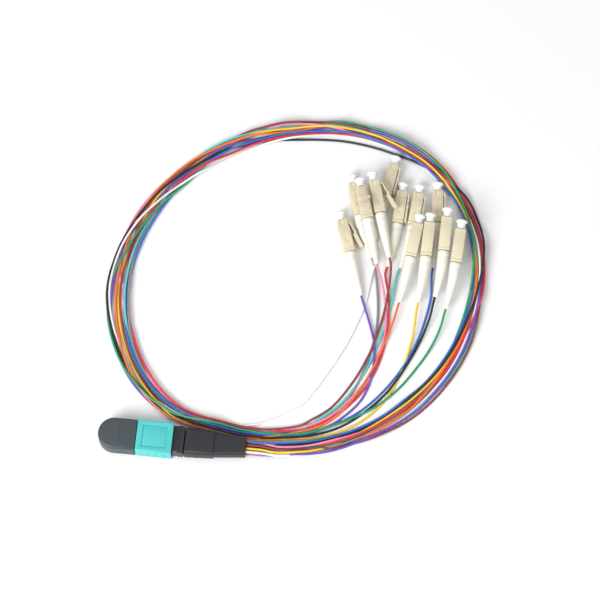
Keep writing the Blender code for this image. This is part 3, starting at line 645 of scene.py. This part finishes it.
connector = {
    "length": 13.4 * mm,
    "side": 4.5 * mm,
    "chamfer": 0.35 * mm,
    "groove": 0.15 * mm,
    "noseStep": 0.16 * mm,
    "bore": 1.65 * mm,
    "boreDepth": 3.5 * mm,
    "leverWidth": 3.0 * mm,
    "blade": 0.6 * mm,
    "tab": 1.5 * mm,
    "tabLength": 5.6 * mm,
    "tabSetback": 0.8 * mm,
    "leverRoot": 1.4 * mm,
    "lugSetback": 5.6 * mm,
    "lugLength": 1.3 * mm,
    "thumbRidges": (1.3 * mm, 0.9 * mm, 3, 0.3 * mm),       # first, pitch, number and width
    "tailLength": 18.2 * mm,
    "socket": 1.0 * mm,
    "capReach": 3.5 * mm,
    "capFlange": 2.2 * mm,
    "capNeck": 1.5 * mm,
}
leverStandOff = {"free": 4.9 * mm, "half": 3.6 * mm, "pressed": 1.1 * mm, "under": 2.4 * mm}
halfSide = connector["side"] / 2

# Where the fibre enters (mm in the loop's frame), the tail's heading and rise, the body's heading and rise
# (degrees), the side that the lever is on, and how far the lever stands off
connectorPlaces = {
    "violet": ((24.0, 1.4, 1.1), (104, 3.8), (103, 0), "right", "half"),
    "slate": ((28.3, 17.2, 1.1), (105, 3.8), (100, 0), "right", "under"),
    "rose": ((30.1, 13.6, 4.4), (101, 9), (100, 0), "up", "free"),
    "brown": ((35.1, 16.2, 4.2), (101, 7.5), (100, 3), "right", "free"),
    "white": ((29.9, 25.3, 1.1), (77, 3.8), (75, 0), "right", "pressed"),
    "red": ((34.4, 13.4, 1.1), (77, 3.8), (81, 0), "right", "pressed"),
    "aqua": ((39.4, 12.9, 1.1), (73, 3.8), (79.5, 0), "right", "pressed"),
    "blue": ((52.3, 13.0, 1.1), (84, 3.8), (87.5, 0), "right", "pressed"),
    "orange": ((38.8, -1.9, 2.8), (75, 15), (77, 8), "down", "under"),
    "yellow": ((46.2, -2.0, 2.8), (80, 15), (82.5, 8), "down", "under"),
    "black": ((52.9, 0.3, 2.8), (79, 15), (83.5, 8), "down", "under"),
    "green": ((57.0, -4.6, 2.8), (77, 15), (81, 8), "down", "under"),
}


def direction(heading, rise):
    turn, climb = radians(heading) + loopTurn, radians(rise)
    return Vector((cos(turn) * cos(climb), sin(turn) * cos(climb), sin(climb)))


def connectorPlace(name):
    tip, tailTurn, bodyTurn, side, lever = connectorPlaces[name]
    entry = Vector((*onTable(tip), tip[2] * mm))
    joint = entry + connector["tailLength"] * direction(*tailTurn)
    forward = direction(*bodyTurn)
    left = Vector((0, 0, 1)).cross(forward).normalized()
    up = forward.cross(left)
    roll = {"up": 0, "right": 90, "down": 180}[side]
    axes = Matrix((forward, left, up)).transposed().to_4x4()
    matrix = Matrix.Translation(joint + fit * forward) @ axes @ Matrix.Rotation(radians(roll), 4, "X")
    return entry, joint - 0.5 * connector["tailLength"] * forward, joint, matrix, lever


# Square housing along X: a rear rim, a groove, the long body, and a round opening in front
def makeHousing():
    side, chamfer, length = connector["side"], connector["chamfer"], connector["length"]
    groove, nose = side - 2 * connector["groove"], side - connector["noseStep"]
    housing = startPlate("housing", 0, side - chamfer, side - chamfer, 0, chamfer, 2)
    growTurned(housing, (
        (0, side - chamfer), (0.2 * mm, side), (1.0 * mm, side), (1.1 * mm, groove), (1.45 * mm, groove),
        (1.55 * mm, side), (length - 3.1 * mm, side), (length - 2.95 * mm, nose), (length - 0.2 * mm, nose),
        (length, nose - chamfer)))
    depth = connector["boreDepth"]
    changedBy(housing, startRod("bore", length - depth, connector["bore"], depth + fit, 40), "DIFFERENCE")
    window, slot = (4.1 * mm, 5.2 * mm), (length - 2.4 * mm, length + fit)
    onFlanks(housing, "DIFFERENCE", [window], halfSide, 0.22 * mm, -0.45 * mm, 0.45 * mm)
    onFlanks(housing, "DIFFERENCE", [slot], halfSide, 0.3 * mm, -1.1 * mm, -0.5 * mm)
    return housing


# The latch lever: a root at the nose, a thin blade that rises to the rear, two lugs and a thumb tab
def makeLever(standOff):
    root = connector["length"] - connector["leverRoot"]
    end = connector["tabSetback"]
    blade, tab, width = connector["blade"], connector["tab"], connector["leverWidth"]
    startHeight = halfSide + blade + 0.2 * mm
    slope = (halfSide + standOff - startHeight) / (root - end)

    def outer(x):
        return startHeight + slope * (root - x)

    def section(x, thickness, wide):
        top = outer(x)
        low = max(top - thickness, halfSide + 0.75 * fit)
        return x, wide, top - low, (top + low) / 2

    shoulder = end + connector["tabLength"]
    sections = [section(x, thick, wide) for x, thick, wide in (
        (root, blade + 0.15 * mm, width), (root - 0.8 * mm, blade, width),
        (root - 2.5 * mm, blade, width - 0.15 * mm), (shoulder + 0.9 * mm, blade, width - 0.15 * mm),
        (shoulder + 0.35 * mm, blade + 0.2 * mm, width), (shoulder, tab, width),
        (end + 0.9 * mm, tab, width), (end + 0.3 * mm, tab - 0.25 * mm, width - 0.3 * mm),
        (end, tab - 0.7 * mm, width - 0.9 * mm))]
    lever = startPlate("lever", *sections[0], 0)
    growSections(lever, sections)
    below = halfSide - 0.5 * mm
    nose = connector["length"] - connector["chamfer"] - 0.25 * mm
    foot = startBox("foot", (root - 0.6 * mm, -width / 2, below), (nose, width / 2, outer(root) - 0.02 * mm))
    pick(foot, "EDGE", lambda edge: all(tip.co.x > root and tip.co.z > below + fit for tip in edge.verts))
    bpy.ops.mesh.bevel(offset=0.75 * mm, segments=5)
    backToObject()
    changedBy(lever, foot, "UNION")
    lugX = connector["length"] - connector["lugSetback"]
    lug = startBox("lug", (lugX - connector["lugLength"], -halfSide, outer(lugX) - blade + 0.02 * mm),
                   (lugX, halfSide, outer(lugX) + 0.17 * mm))
    changedBy(lever, lug, "UNION")
    for first, last in evenSpans(end, *connector["thumbRidges"]):
        top, reach = outer((first + last) / 2), 0.42 * width
        ridge = startBox("ridge", (first, -reach, top - 0.3 * mm), (last, reach, top + 0.1 * mm))
        changedBy(lever, ridge, "UNION")
    return lever


# Rubber tail, straight along -X at first: each section is (share of its length, share of half the body)
tailProfile = ((0, 0.90), (0.012, 0.97), (0.05, 1.0), (0.085, 1.0), (0.1, 0.94), (0.125, 0.94),
               (0.14, 0.985), (0.25, 0.93), (0.36, 0.87), (0.48, 0.80), (0.6, 0.715), (0.72, 0.62),
               (0.83, 0.54), (0.93, 0.47), (0.985, 0.445), (1.0, 0.40))


def makeTail():
    length = connector["tailLength"]
    inner = fibreDiameter / 2 + 0.05 * mm
    profile = [(-along * length, share * halfSide) for along, share in tailProfile]
    profile += [(-length, inner), (-length + connector["socket"], inner)]
    tail = startDisc("tail", *profile[0])
    growTurned(tail, profile)
    return tail


def bentTail(tail, name, entry, bend, joint):      # from the body's rear to where the fibre enters
    made = copied(tail, name)
    for corner in made.data.vertices:
        along = -corner.co.x / connector["tailLength"]
        point = (1 - along) ** 2 * joint + 2 * along * (1 - along) * bend + along ** 2 * entry
        slope = ((1 - along) * (bend - joint) + along * (entry - bend)).normalized()
        across = slope.cross(Vector((0, 0, 1))).normalized()
        upwards = across.cross(slope)
        corner.co = point + corner.co.y * across + corner.co.z * upwards
    made.data.update()
    facesOut(made)
    return made


# Mushroom cap: a stem in the bore, a neck, and a flange that the fingers pull on
def makeCap():
    rear = connector["length"] - connector["boreDepth"] + fit
    face = connector["length"] + fit
    stem, neck, flange = connector["bore"] - fit, connector["capNeck"], connector["capFlange"]
    profile = [(rear, stem - 0.15 * mm), (rear + fit, stem), (face, stem)]
    profile += [(face + share * connector["capReach"], radius) for share, radius in (
        (0, neck + 0.25 * mm), (0.08, neck + 0.2 * mm), (0.2, neck), (0.48, neck), (0.6, neck + 0.12 * mm),
        (0.70, flange - 0.2 * mm), (0.75, flange), (0.88, flange), (0.96, flange - 0.18 * mm),
        (1, flange - 0.45 * mm), (1, 0.72 * neck), (0.93, 0.6 * neck), (0.91, 0.3 * neck))]
    cap = startDisc("cap", *profile[0])
    growTurned(cap, profile)
    return cap


housingModel = makeHousing()
connectorModels = {}
for leverName, standOff in leverStandOff.items():
    body = copied(housingModel, "body_" + leverName)
    changedBy(body, makeLever(standOff), "UNION")
    softEdges(body, 0.07 * mm, 40)
    connectorModels[leverName] = smoothed(body, finishes["connector beige"])
tailModel = smoothed(makeTail(), finishes["connector boot ivory"], 40)
capModel = smoothed(makeCap(), finishes["connector cap white"], 40)
print("small connector modelled")

fibreEnds = {}
for name in connectorPlaces:
    entry, bend, joint, matrix, leverName = connectorPlace(name)
    body = copied(connectorModels[leverName], "connectorBody_" + name, matrix)
    tail = bentTail(tailModel, "connectorTail_" + name, entry, bend, joint)
    cap = copied(capModel, "connectorCap_" + name, matrix)
    for piece, part in ((body, "body"), (tail, "tail"), (cap, "cap")):
        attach(piece, "loom")
        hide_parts("connector_" + part + "_" + name)
        "connector_" + part
    fibreEnds[name] = (entry, (entry - bend).normalized())
for model in (housingModel, tailModel, capModel, *connectorModels.values()):
    bpy.data.objects.remove(model, do_unlink=True)
print("twelve connectors placed")


# Fibres: from the plug's mouth once round the loop as a loose bundle, then fanned out to the connectors

fibres = {
    "diameter": fibreDiameter,
    "length": 0.54,
    "pitch": 1.0 * mm,            # how closely they lie on each other
    "fall": 36.0 * mm,            # from the plug's mouth down to the table
    "rise": 15.6 * mm,            # from the table up to a connector
    "ease": 3.2 * mm,             # how far a bump over another fibre is spread
    "swap": 0.35,                 # how far apart two layers are before one fibre is fully over the other
    "order": 0.04,                # what the laying order adds to a fibre's layer
    "rounds": 14,                 # of lifting, so that each fibre clears all below it
    "lift": 0.03 * mm,            # off the table
    "lead": 3.0 * mm,             # straight into a connector
    "step": 0.6 * mm,             # between the points of a tube
}

# The order in which they are laid on each other, lowest first
layingOrder = ("aqua", "slate", "white", "rose", "red", "violet", "yellow", "brown", "blue", "orange",
               "black", "green")

# How far each fibre lies from the loop's middle (mm) round the loop, from the bundle's outer edge to its
# inner edge. A minus marks a fibre that lies low in the heap there, and a plus one that lies over all the
# rest. The angles are in degrees, counted on past a full turn
bundle = {
    262: "white 65.6, violet 65.0-, yellow 64.5, aqua 64.1-, slate 63.7-, brown 63.3, orange 62.8-, "
         "green 62.4-, rose 62.0, red 61.5-, black 61.0-, blue 60.6",
    272: "violet 64.3, white 63.9-, yellow 63.3, aqua 62.9-, slate 62.5-, brown 62.1, orange 61.6-, "
         "green 61.2-, rose 60.8, red 60.4-, black 59.7-, blue 59.1",
    285: "violet 63.3, white 62.8-, brown 62.5-, aqua 62.2-, slate 61.8, orange 61.4-, yellow 61.0-, "
         "green 60.7-, red 60.4, rose 59.5, black 58.5-, blue 57.8",
    300: "brown 63.8, violet 62.9, aqua 62.6-, white 62.2-, orange 61.9, slate 61.1, green 60.6-, "
         "red 60.1, rose 59.6-, yellow 59.0, black 58.2-, blue 57.6",
    315: "brown 65.5, violet 64.4, aqua 63.6, white 62.9, orange 62.2, slate 61.7-, red 61.1, "
         "rose 60.6-, green 60.2-, yellow 59.8, black 59.0, blue 58.2",
    331: "brown 67.2, aqua 66.3, violet 65.6, white 64.8, slate 64.2-, red 63.6, rose 63.1-, "
         "orange 62.7, yellow 62.0, green 61.6-, black 61.2, blue 60.4",
    346: "brown 69.2, aqua 68.4, violet 67.6, slate 67.2-, white 66.8, rose 66.4-, red 66.0, "
         "orange 65.2, yellow 64.7-, black 64.1, blue 63.3, green 62.9-",
    362: "red 71.7, rose 71.3-, brown 70.9-, violet 70.5, aqua 70.3-, white 69.9, black 69.4+, "
         "slate 69.2-, orange 68.9, yellow 68.3-, blue 67.6, green 66.6",
    378: "black 76.2+, red 75.4, rose 75.0-, brown 74.6, violet 74.2-, white 73.7, aqua 73.4-, "
         "slate 73.0, orange 72.7-, yellow 72.2, green 71.9+, blue 71.2",
    393: "black 78.8, violet 78.3-, orange 77.9-, red 77.6, brown 76.9, rose 76.6-, green 76.1, "
         "aqua 75.8-, slate 75.5-, white 75.3-, yellow 75.0, blue 74.1",
    408: "orange 80.4, green 79.3, violet 78.5, slate 77.9-, brown 77.5, aqua 77.0-, yellow 76.4, "
         "rose 76.0-, red 75.5, white 75.3-, black 75.0-, blue 74.7",
    422: "orange 79.8, green 78.9, violet 78.1, brown 77.6-, slate 77.2, aqua 76.6-, yellow 76.1, "
         "rose 75.7-, red 75.2, blue 74.4, white 74.0-, black 71.9",
    436: "green 77.5, orange 76.9-, brown 76.5, violet 75.9-, aqua 75.6, slate 75.2-, yellow 74.8, "
         "rose 74.1, blue 73.3, red 72.6, white 72.1, black 69.7",
    450: "brown 75.4, green 75.0-, rose 74.4, aqua 73.9-, slate 73.4-, yellow 72.9, orange 72.1-, "
         "violet 71.8-, blue 71.3, red 70.4, white 69.4, black 68.2-",
    464: "brown 74.1, rose 73.7-, green 73.4-, aqua 73.0, slate 72.6-, yellow 72.2, orange 71.5, "
         "violet 70.6, blue 69.8, black 69.2-, red 68.6, white 67.4",
    478: "aqua 73.1, rose 72.8-, brown 72.4-, orange 71.9, yellow 71.4-, violet 70.9, slate 70.4-, "
         "green 70.0-, black 69.7, blue 68.9, red 68.0, white 66.3",
    492: "rose 73.1-, orange 72.8, aqua 72.1-, brown 71.5, yellow 71.1-, black 70.6, violet 69.9, "
         "slate 69.3-, red 68.7, blue 67.9-, white 67.3+, green 66.7",
    507: "rose 74.0, orange 73.1, black 72.3, brown 71.6, violet 71.3-, yellow 71.0, white 70.3+, "
         "red 69.6-, aqua 69.0-, green 68.4+, slate 67.6-, blue 66.9",
    522: "black 74.5, rose 74.0, white 73.6+, violet 72.9, orange 72.2, green 71.0+, yellow 70.6-, "
         "brown 70.2, red 69.6-, aqua 68.7, slate 67.7, blue 67.1",
    538: "black 75.8, green 75.3-, white 74.8, violet 73.9, orange 72.2, yellow 71.3-, brown 70.5, "
         "rose 69.9, aqua 68.7, red 68.2-, blue 67.8-, slate 67.2",
    554: "green 75.0, violet 74.5-, black 74.0, white 73.1, orange 72.3, yellow 70.8, brown 69.9, "
         "blue 69.1, aqua 68.4, slate 67.6, rose 67.1-, red 66.7",
    569: "violet 73.2, green 72.8+, orange 72.4, black 71.9-, white 71.4-, yellow 70.4, brown 69.2, "
         "blue 68.3, aqua 67.7-, slate 67.2-, rose 66.6-, red 66.0",
    585: "orange 69.5, violet 69.0-, yellow 68.6, black 68.1, green 67.6+, brown 67.2-, white 66.7, "
         "slate 66.1-, blue 65.6, aqua 65.1-, rose 64.4-, red 63.8",
    600: "yellow 63.1, orange 62.6, black 62.2, violet 61.7, slate 61.2, blue 60.7, aqua 60.2, "
         "green 59.7, rose 59.4, white 59.1, brown 58.7, red 58.3",
    612: "yellow 60.3, orange 59.9, black 59.4, violet 59.0, slate 58.4, blue 58.0, green 57.4, "
         "aqua 56.9, rose 56.5, brown 56.1, red 55.6, white 53.7",
    630: "yellow 56.8, black 56.3, blue 55.8, green 55.3, violet 54.8, orange 54.3, red 53.9, "
         "aqua 53.4, slate 52.9, rose 52.4, brown 51.9, white 43.9",
}

# From the bundle to each connector (mm in the loop's frame)
fan = {
    "violet": ((9.7, -52.6), (16.3, -48.5), (23.4, -41.7), (27.4, -33.1), (28.8, -24.6), (28.7, -16.7)),
    "slate": ((9.2, -48.8), (16.5, -43.3), (22.7, -33.9), (26.4, -25.1), (29.6, -13.3), (30.5, -5.2),
              (30.4, 2.6)),
    "rose": ((10.2, -48.8), (18.2, -42.2), (25.8, -33.0), (31.0, -21.8), (33.4, -12.4), (33.5, -3.8),
             (31.8, 7.4)),
    "brown": ((4.1, -49.6), (11.6, -44.8), (18.3, -37.1), (24.9, -26.8), (29.6, -16.3), (33.3, -4.0),
              (35.2, 6.7)),
    "red": ((12.2, -48.6), (20.4, -42.1), (26.7, -34.2), (30.9, -25.6), (33.8, -14.9), (34.7, -6.1),
            (34.8, 2.0)),
    "aqua": ((6.7, -49.4), (13.8, -44.6), (20.5, -37.1), (27.0, -26.6), (32.1, -14.1), (36.1, -0.9)),
    "orange": ((4.7, -53.2), (11.6, -49.9), (18.2, -43.8), (24.1, -35.8), (29.3, -26.6), (33.3, -17.4),
               (36.3, -10.0)),
    "yellow": ((7.2, -56.4), (15.3, -54.2), (24.8, -49.2), (31.6, -43.0), (36.8, -35.2), (41.0, -25.4),
               (44.2, -14.3)),
    "blue": ((8.2, -53.4), (16.2, -50.1), (25.1, -44.5), (33.5, -36.4), (40.4, -27.3), (45.8, -17.1),
             (49.5, -6.6), (51.5, 2.0)),
    "black": ((9.8, -54.4), (18.0, -51.0), (26.3, -45.2), (34.8, -37.0), (40.9, -28.0), (46.3, -18.5),
              (50.7, -8.2)),
    "green": ((10.8, -52.6), (19.4, -49.1), (26.3, -45.9), (32.9, -41.6), (39.4, -35.5), (45.5, -28.0),
              (51.0, -20.0), (54.8, -12.2)),
    "white": ((4.5, -38.9), (13.4, -26.3), (20.2, -14.5), (25.6, -1.5), (27.3, 5.8), (28.6, 11.5),
              (30.0, 15.2), (30.3, 18.6)),
}


def readRow(row):                 # how far out each fibre lies, and its layer: 0 low, 1 between, 2 over all
    entries = [entry.split() for entry in row.split(", ")]
    return {name: (float(out.rstrip("-+")), {"-": 0, "+": 2}.get(out[-1], 1)) for name, out in entries}


bundleRows = {angle: readRow(row) for angle, row in bundle.items()}
firstRow = bundleRows[min(bundleRows)]


def mouthColumn(name):            # four columns in the plug's mouth, sorted as in the bundle
    row = layingOrder.index(name) // boot["columns"]
    mates = layingOrder[row * boot["columns"]:(row + 1) * boot["columns"]]
    return sorted(mates, key=firstRow.get).index(name)


def mouthPlace(name):             # the fibres that lie low in the bundle leave from the lower rows
    column = mouthColumn(name)
    mates = [other for other in layingOrder if mouthColumn(other) == column]
    row = sorted(mates, key=lambda other: firstRow[other][1]).index(name)
    side = (0.5 * (boot["columns"] - 1) - column) * boot["mouthPitch"]
    return side, plugMiddle + (row - 0.5 * (boot["rows"] - 1)) * boot["mouthPitch"]


def fibreRoute(name):
    side, height = mouthPlace(name)
    start = bootRear - boot["mouthDepth"] + fit
    points = [(start, side), (bootRear, side), (bootRear + boot["lead"], side)]
    for angle, row in bundleRows.items():
        radius = row[name][0]
        points.append(tuple(onTable((radius * cos(radians(angle)), radius * sin(radians(angle))))))
    points += [tuple(onTable(point)) for point in fan[name]]
    entry, slope = fibreEnds[name]
    points.append(tuple((entry + fibres["lead"] * slope)[:2]))
    points.append(tuple((entry - (connector["socket"] - fit) * slope)[:2]))
    return points, height, entry.z


def runningLength(points, power=1):
    return np.concatenate([[0], np.cumsum(np.linalg.norm(np.diff(points, axis=0), axis=1) ** power)])


def smoothLine(points, steps=30):  # a centripetal Catmull-Rom line through the points, at even spacing
    points = np.array(points)
    ends = np.vstack([2 * points[0] - points[1], points, 2 * points[-1] - points[-2]])
    line = []
    for i in range(len(points) - 1):
        four = ends[i:i + 4]
        knots = runningLength(four, 0.5)
        for step in range(steps):
            t = knots[1] + (knots[2] - knots[1]) * step / steps
            level = four
            for span in (1, 2, 3):
                level = [((knots[j + span] - t) * level[j] + (t - knots[j]) * level[j + 1])
                         / (knots[j + span] - knots[j]) for j in range(4 - span)]
            line.append(level[0])
    line = np.array(line + [points[-1]])
    along = runningLength(line)
    even = np.linspace(0, along[-1], round(along[-1] / fibres["step"]) + 1)
    return np.column_stack([np.interp(even, along, line[:, axis]) for axis in (0, 1)]), even


def eased(values):
    values = np.clip(values, 0, 1)
    return values * values * (3 - 2 * values)


def layerAt(name, plan):          # the fibre's layer in the heap, at each point of its way
    seen = np.array(plan / mm @ np.array(Matrix.Rotation(loopTurn, 2))) + np.array(plugFromLoop)
    angle = np.degrees(np.unwrap(np.arctan2(seen[:, 1], seen[:, 0]))) + 360
    layer = np.interp(angle, list(bundleRows), [row[name][1] for row in bundleRows.values()])
    return layer + fibres["order"] * layingOrder.index(name)


def meetings(plans, layer):       # where two fibres lie so close that one has to lie on the other
    place = np.vstack([plans[name] for name in layingOrder])
    owner = np.repeat(np.arange(len(layingOrder)), [len(plans[name]) for name in layingOrder])
    found = []
    for part in np.array_split(np.arange(len(place)), len(layingOrder)):    # in parts, to save memory
        apart = ((place[part, None, :] - place[None, :, :]) ** 2).sum(axis=2)
        upper, lower = np.nonzero((apart < fibres["pitch"] ** 2) & (layer[part, None] > layer[None, :])
                                  & (owner[part, None] != owner[None, :]))
        clear = np.sqrt(fibres["pitch"] ** 2 - apart[upper, lower])
        clear *= eased((layer[part][upper] - layer[lower]) / fibres["swap"])
        found.append((part[upper], lower, clear))
    return [np.concatenate(column) for column in zip(*found)]


# The fibres come to rest on the table and on each other
def layFibres():
    ground = fibres["diameter"] / 2 + fibres["lift"]
    plans, alongs, heights = {}, {}, []
    for name in layingOrder:
        points, startHeight, endHeight = fibreRoute(name)
        plans[name], along = smoothLine(points)
        alongs[name] = along
        fall = 1 - eased((along - boot["mouthDepth"] - 0.5 * boot["lead"]) / fibres["fall"])
        rise = 1 - eased((along[-1] - along - fibres["lead"]) / fibres["rise"])
        heights.append(ground + (startHeight - ground) * fall + (endHeight - ground) * rise)
    ends = np.cumsum([0] + [len(height) for height in heights])
    height = np.concatenate(heights)
    layer = np.concatenate([layerAt(name, plans[name]) for name in layingOrder])
    upper, lower, clear = meetings(plans, layer)
    for ease in (fibres["ease"], 0.5 * fibres["ease"]):
        for _ in range(fibres["rounds"]):
            np.maximum.at(height, upper, height[lower] + clear)
        for first, last, name in zip(ends, ends[1:], layingOrder):
            along = alongs[name]
            for choose in (np.max, np.mean, np.mean):
                before = height[first:last].copy()
                for i in range(last - first):
                    reach = min(ease, 0.5 * along[i], 0.5 * (along[-1] - along[i]))
                    height[first + i] = choose(before[np.abs(along - along[i]) <= reach])
    return {name: np.column_stack([plans[name], height[first:last]])
            for first, last, name in zip(ends, ends[1:], layingOrder)}


def makeFibre(name, line):
    shape = bpy.data.curves.new("fibreJacket_" + name, "CURVE")
    shape.dimensions = "3D"
    shape.bevel_depth = fibres["diameter"] / 2
    shape.bevel_resolution = 3
    shape.use_fill_caps = True
    run = shape.splines.new("POLY")
    run.points.add(len(line) - 1)
    for point, place in zip(run.points, line):
        point.co = (*place, 1)
    run.use_smooth = True
    shape.materials.append(fibreFinishes[name])
    fibre = linked("fibreJacket_" + name, shape)
    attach(fibre, "loom")
    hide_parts("fibre_" + name)
    "fibre_" + name
    length, highest = float(runningLength(line)[-1]), float(line[:, 2].max()) / mm
    print("fibre", name, "is", round(length, 3), "m, highest", round(highest, 1), "mm")


for name, line in layFibres().items():
    makeFibre(name, line)
print("fibres laid")


# Pale table, a soft key from the front left, a wide fill from above and a white room

studio = {
    "floor": (0.93, 0.93, 0.935),
    "floorSize": 12,
    "floorDrop": 0.05 * mm,
    "room": (1.0, 1.0, 1.0),
    "roomStrength": 0.47,
    "keyFrom": (-0.55, -0.75, 0.75),
    "keySize": 0.75,
    "keyPower": 14,
    "fillFrom": (0.25, 0.2, 1.2),
    "fillSize": 1.4,
    "fillPower": 3,
}


def makeStudio():
    nothingSelected()
    bpy.ops.mesh.primitive_plane_add(size=studio["floorSize"], location=(0, 0, -studio["floorDrop"]))
    floor = named(bpy.context.object, "floor")
    settle()
    wires = Wires("pale table")
    grain = wires.noise(6 * mm, 3)
    tone = wires.mix(grain, shade(studio["floor"], 0.995), shade(studio["floor"], 1.0))
    floor.data.materials.append(wires.finish({"Specular IOR Level": 0.2}, Base_Color=tone,
                                             Roughness=0.55 + 0.08 * grain))
    world = bpy.context.scene.world or bpy.data.worlds.new("room")
    bpy.context.scene.world = world
    world.use_nodes = True
    room = world.node_tree.nodes["Background"]
    room.inputs["Color"].default_value = (*studio["room"], 1)
    room.inputs["Strength"].default_value = studio["roomStrength"]
    bpy.context.scene.view_settings.view_transform = "Standard"
    aim = Vector((*onTable((0, 0)), 0))
    for label in ("key", "fill"):
        light = bpy.data.lights.new(label, "AREA")
        light.shape = "DISK"
        light.size = studio[label + "Size"]
        light.energy = studio[label + "Power"]
        lamp = linked(label, light)
        lamp.location = aim + Vector(studio[label + "From"])
        lamp.rotation_euler = (aim - lamp.location).to_track_quat("-Z", "Y").to_euler()


makeStudio()
print("studio lit")
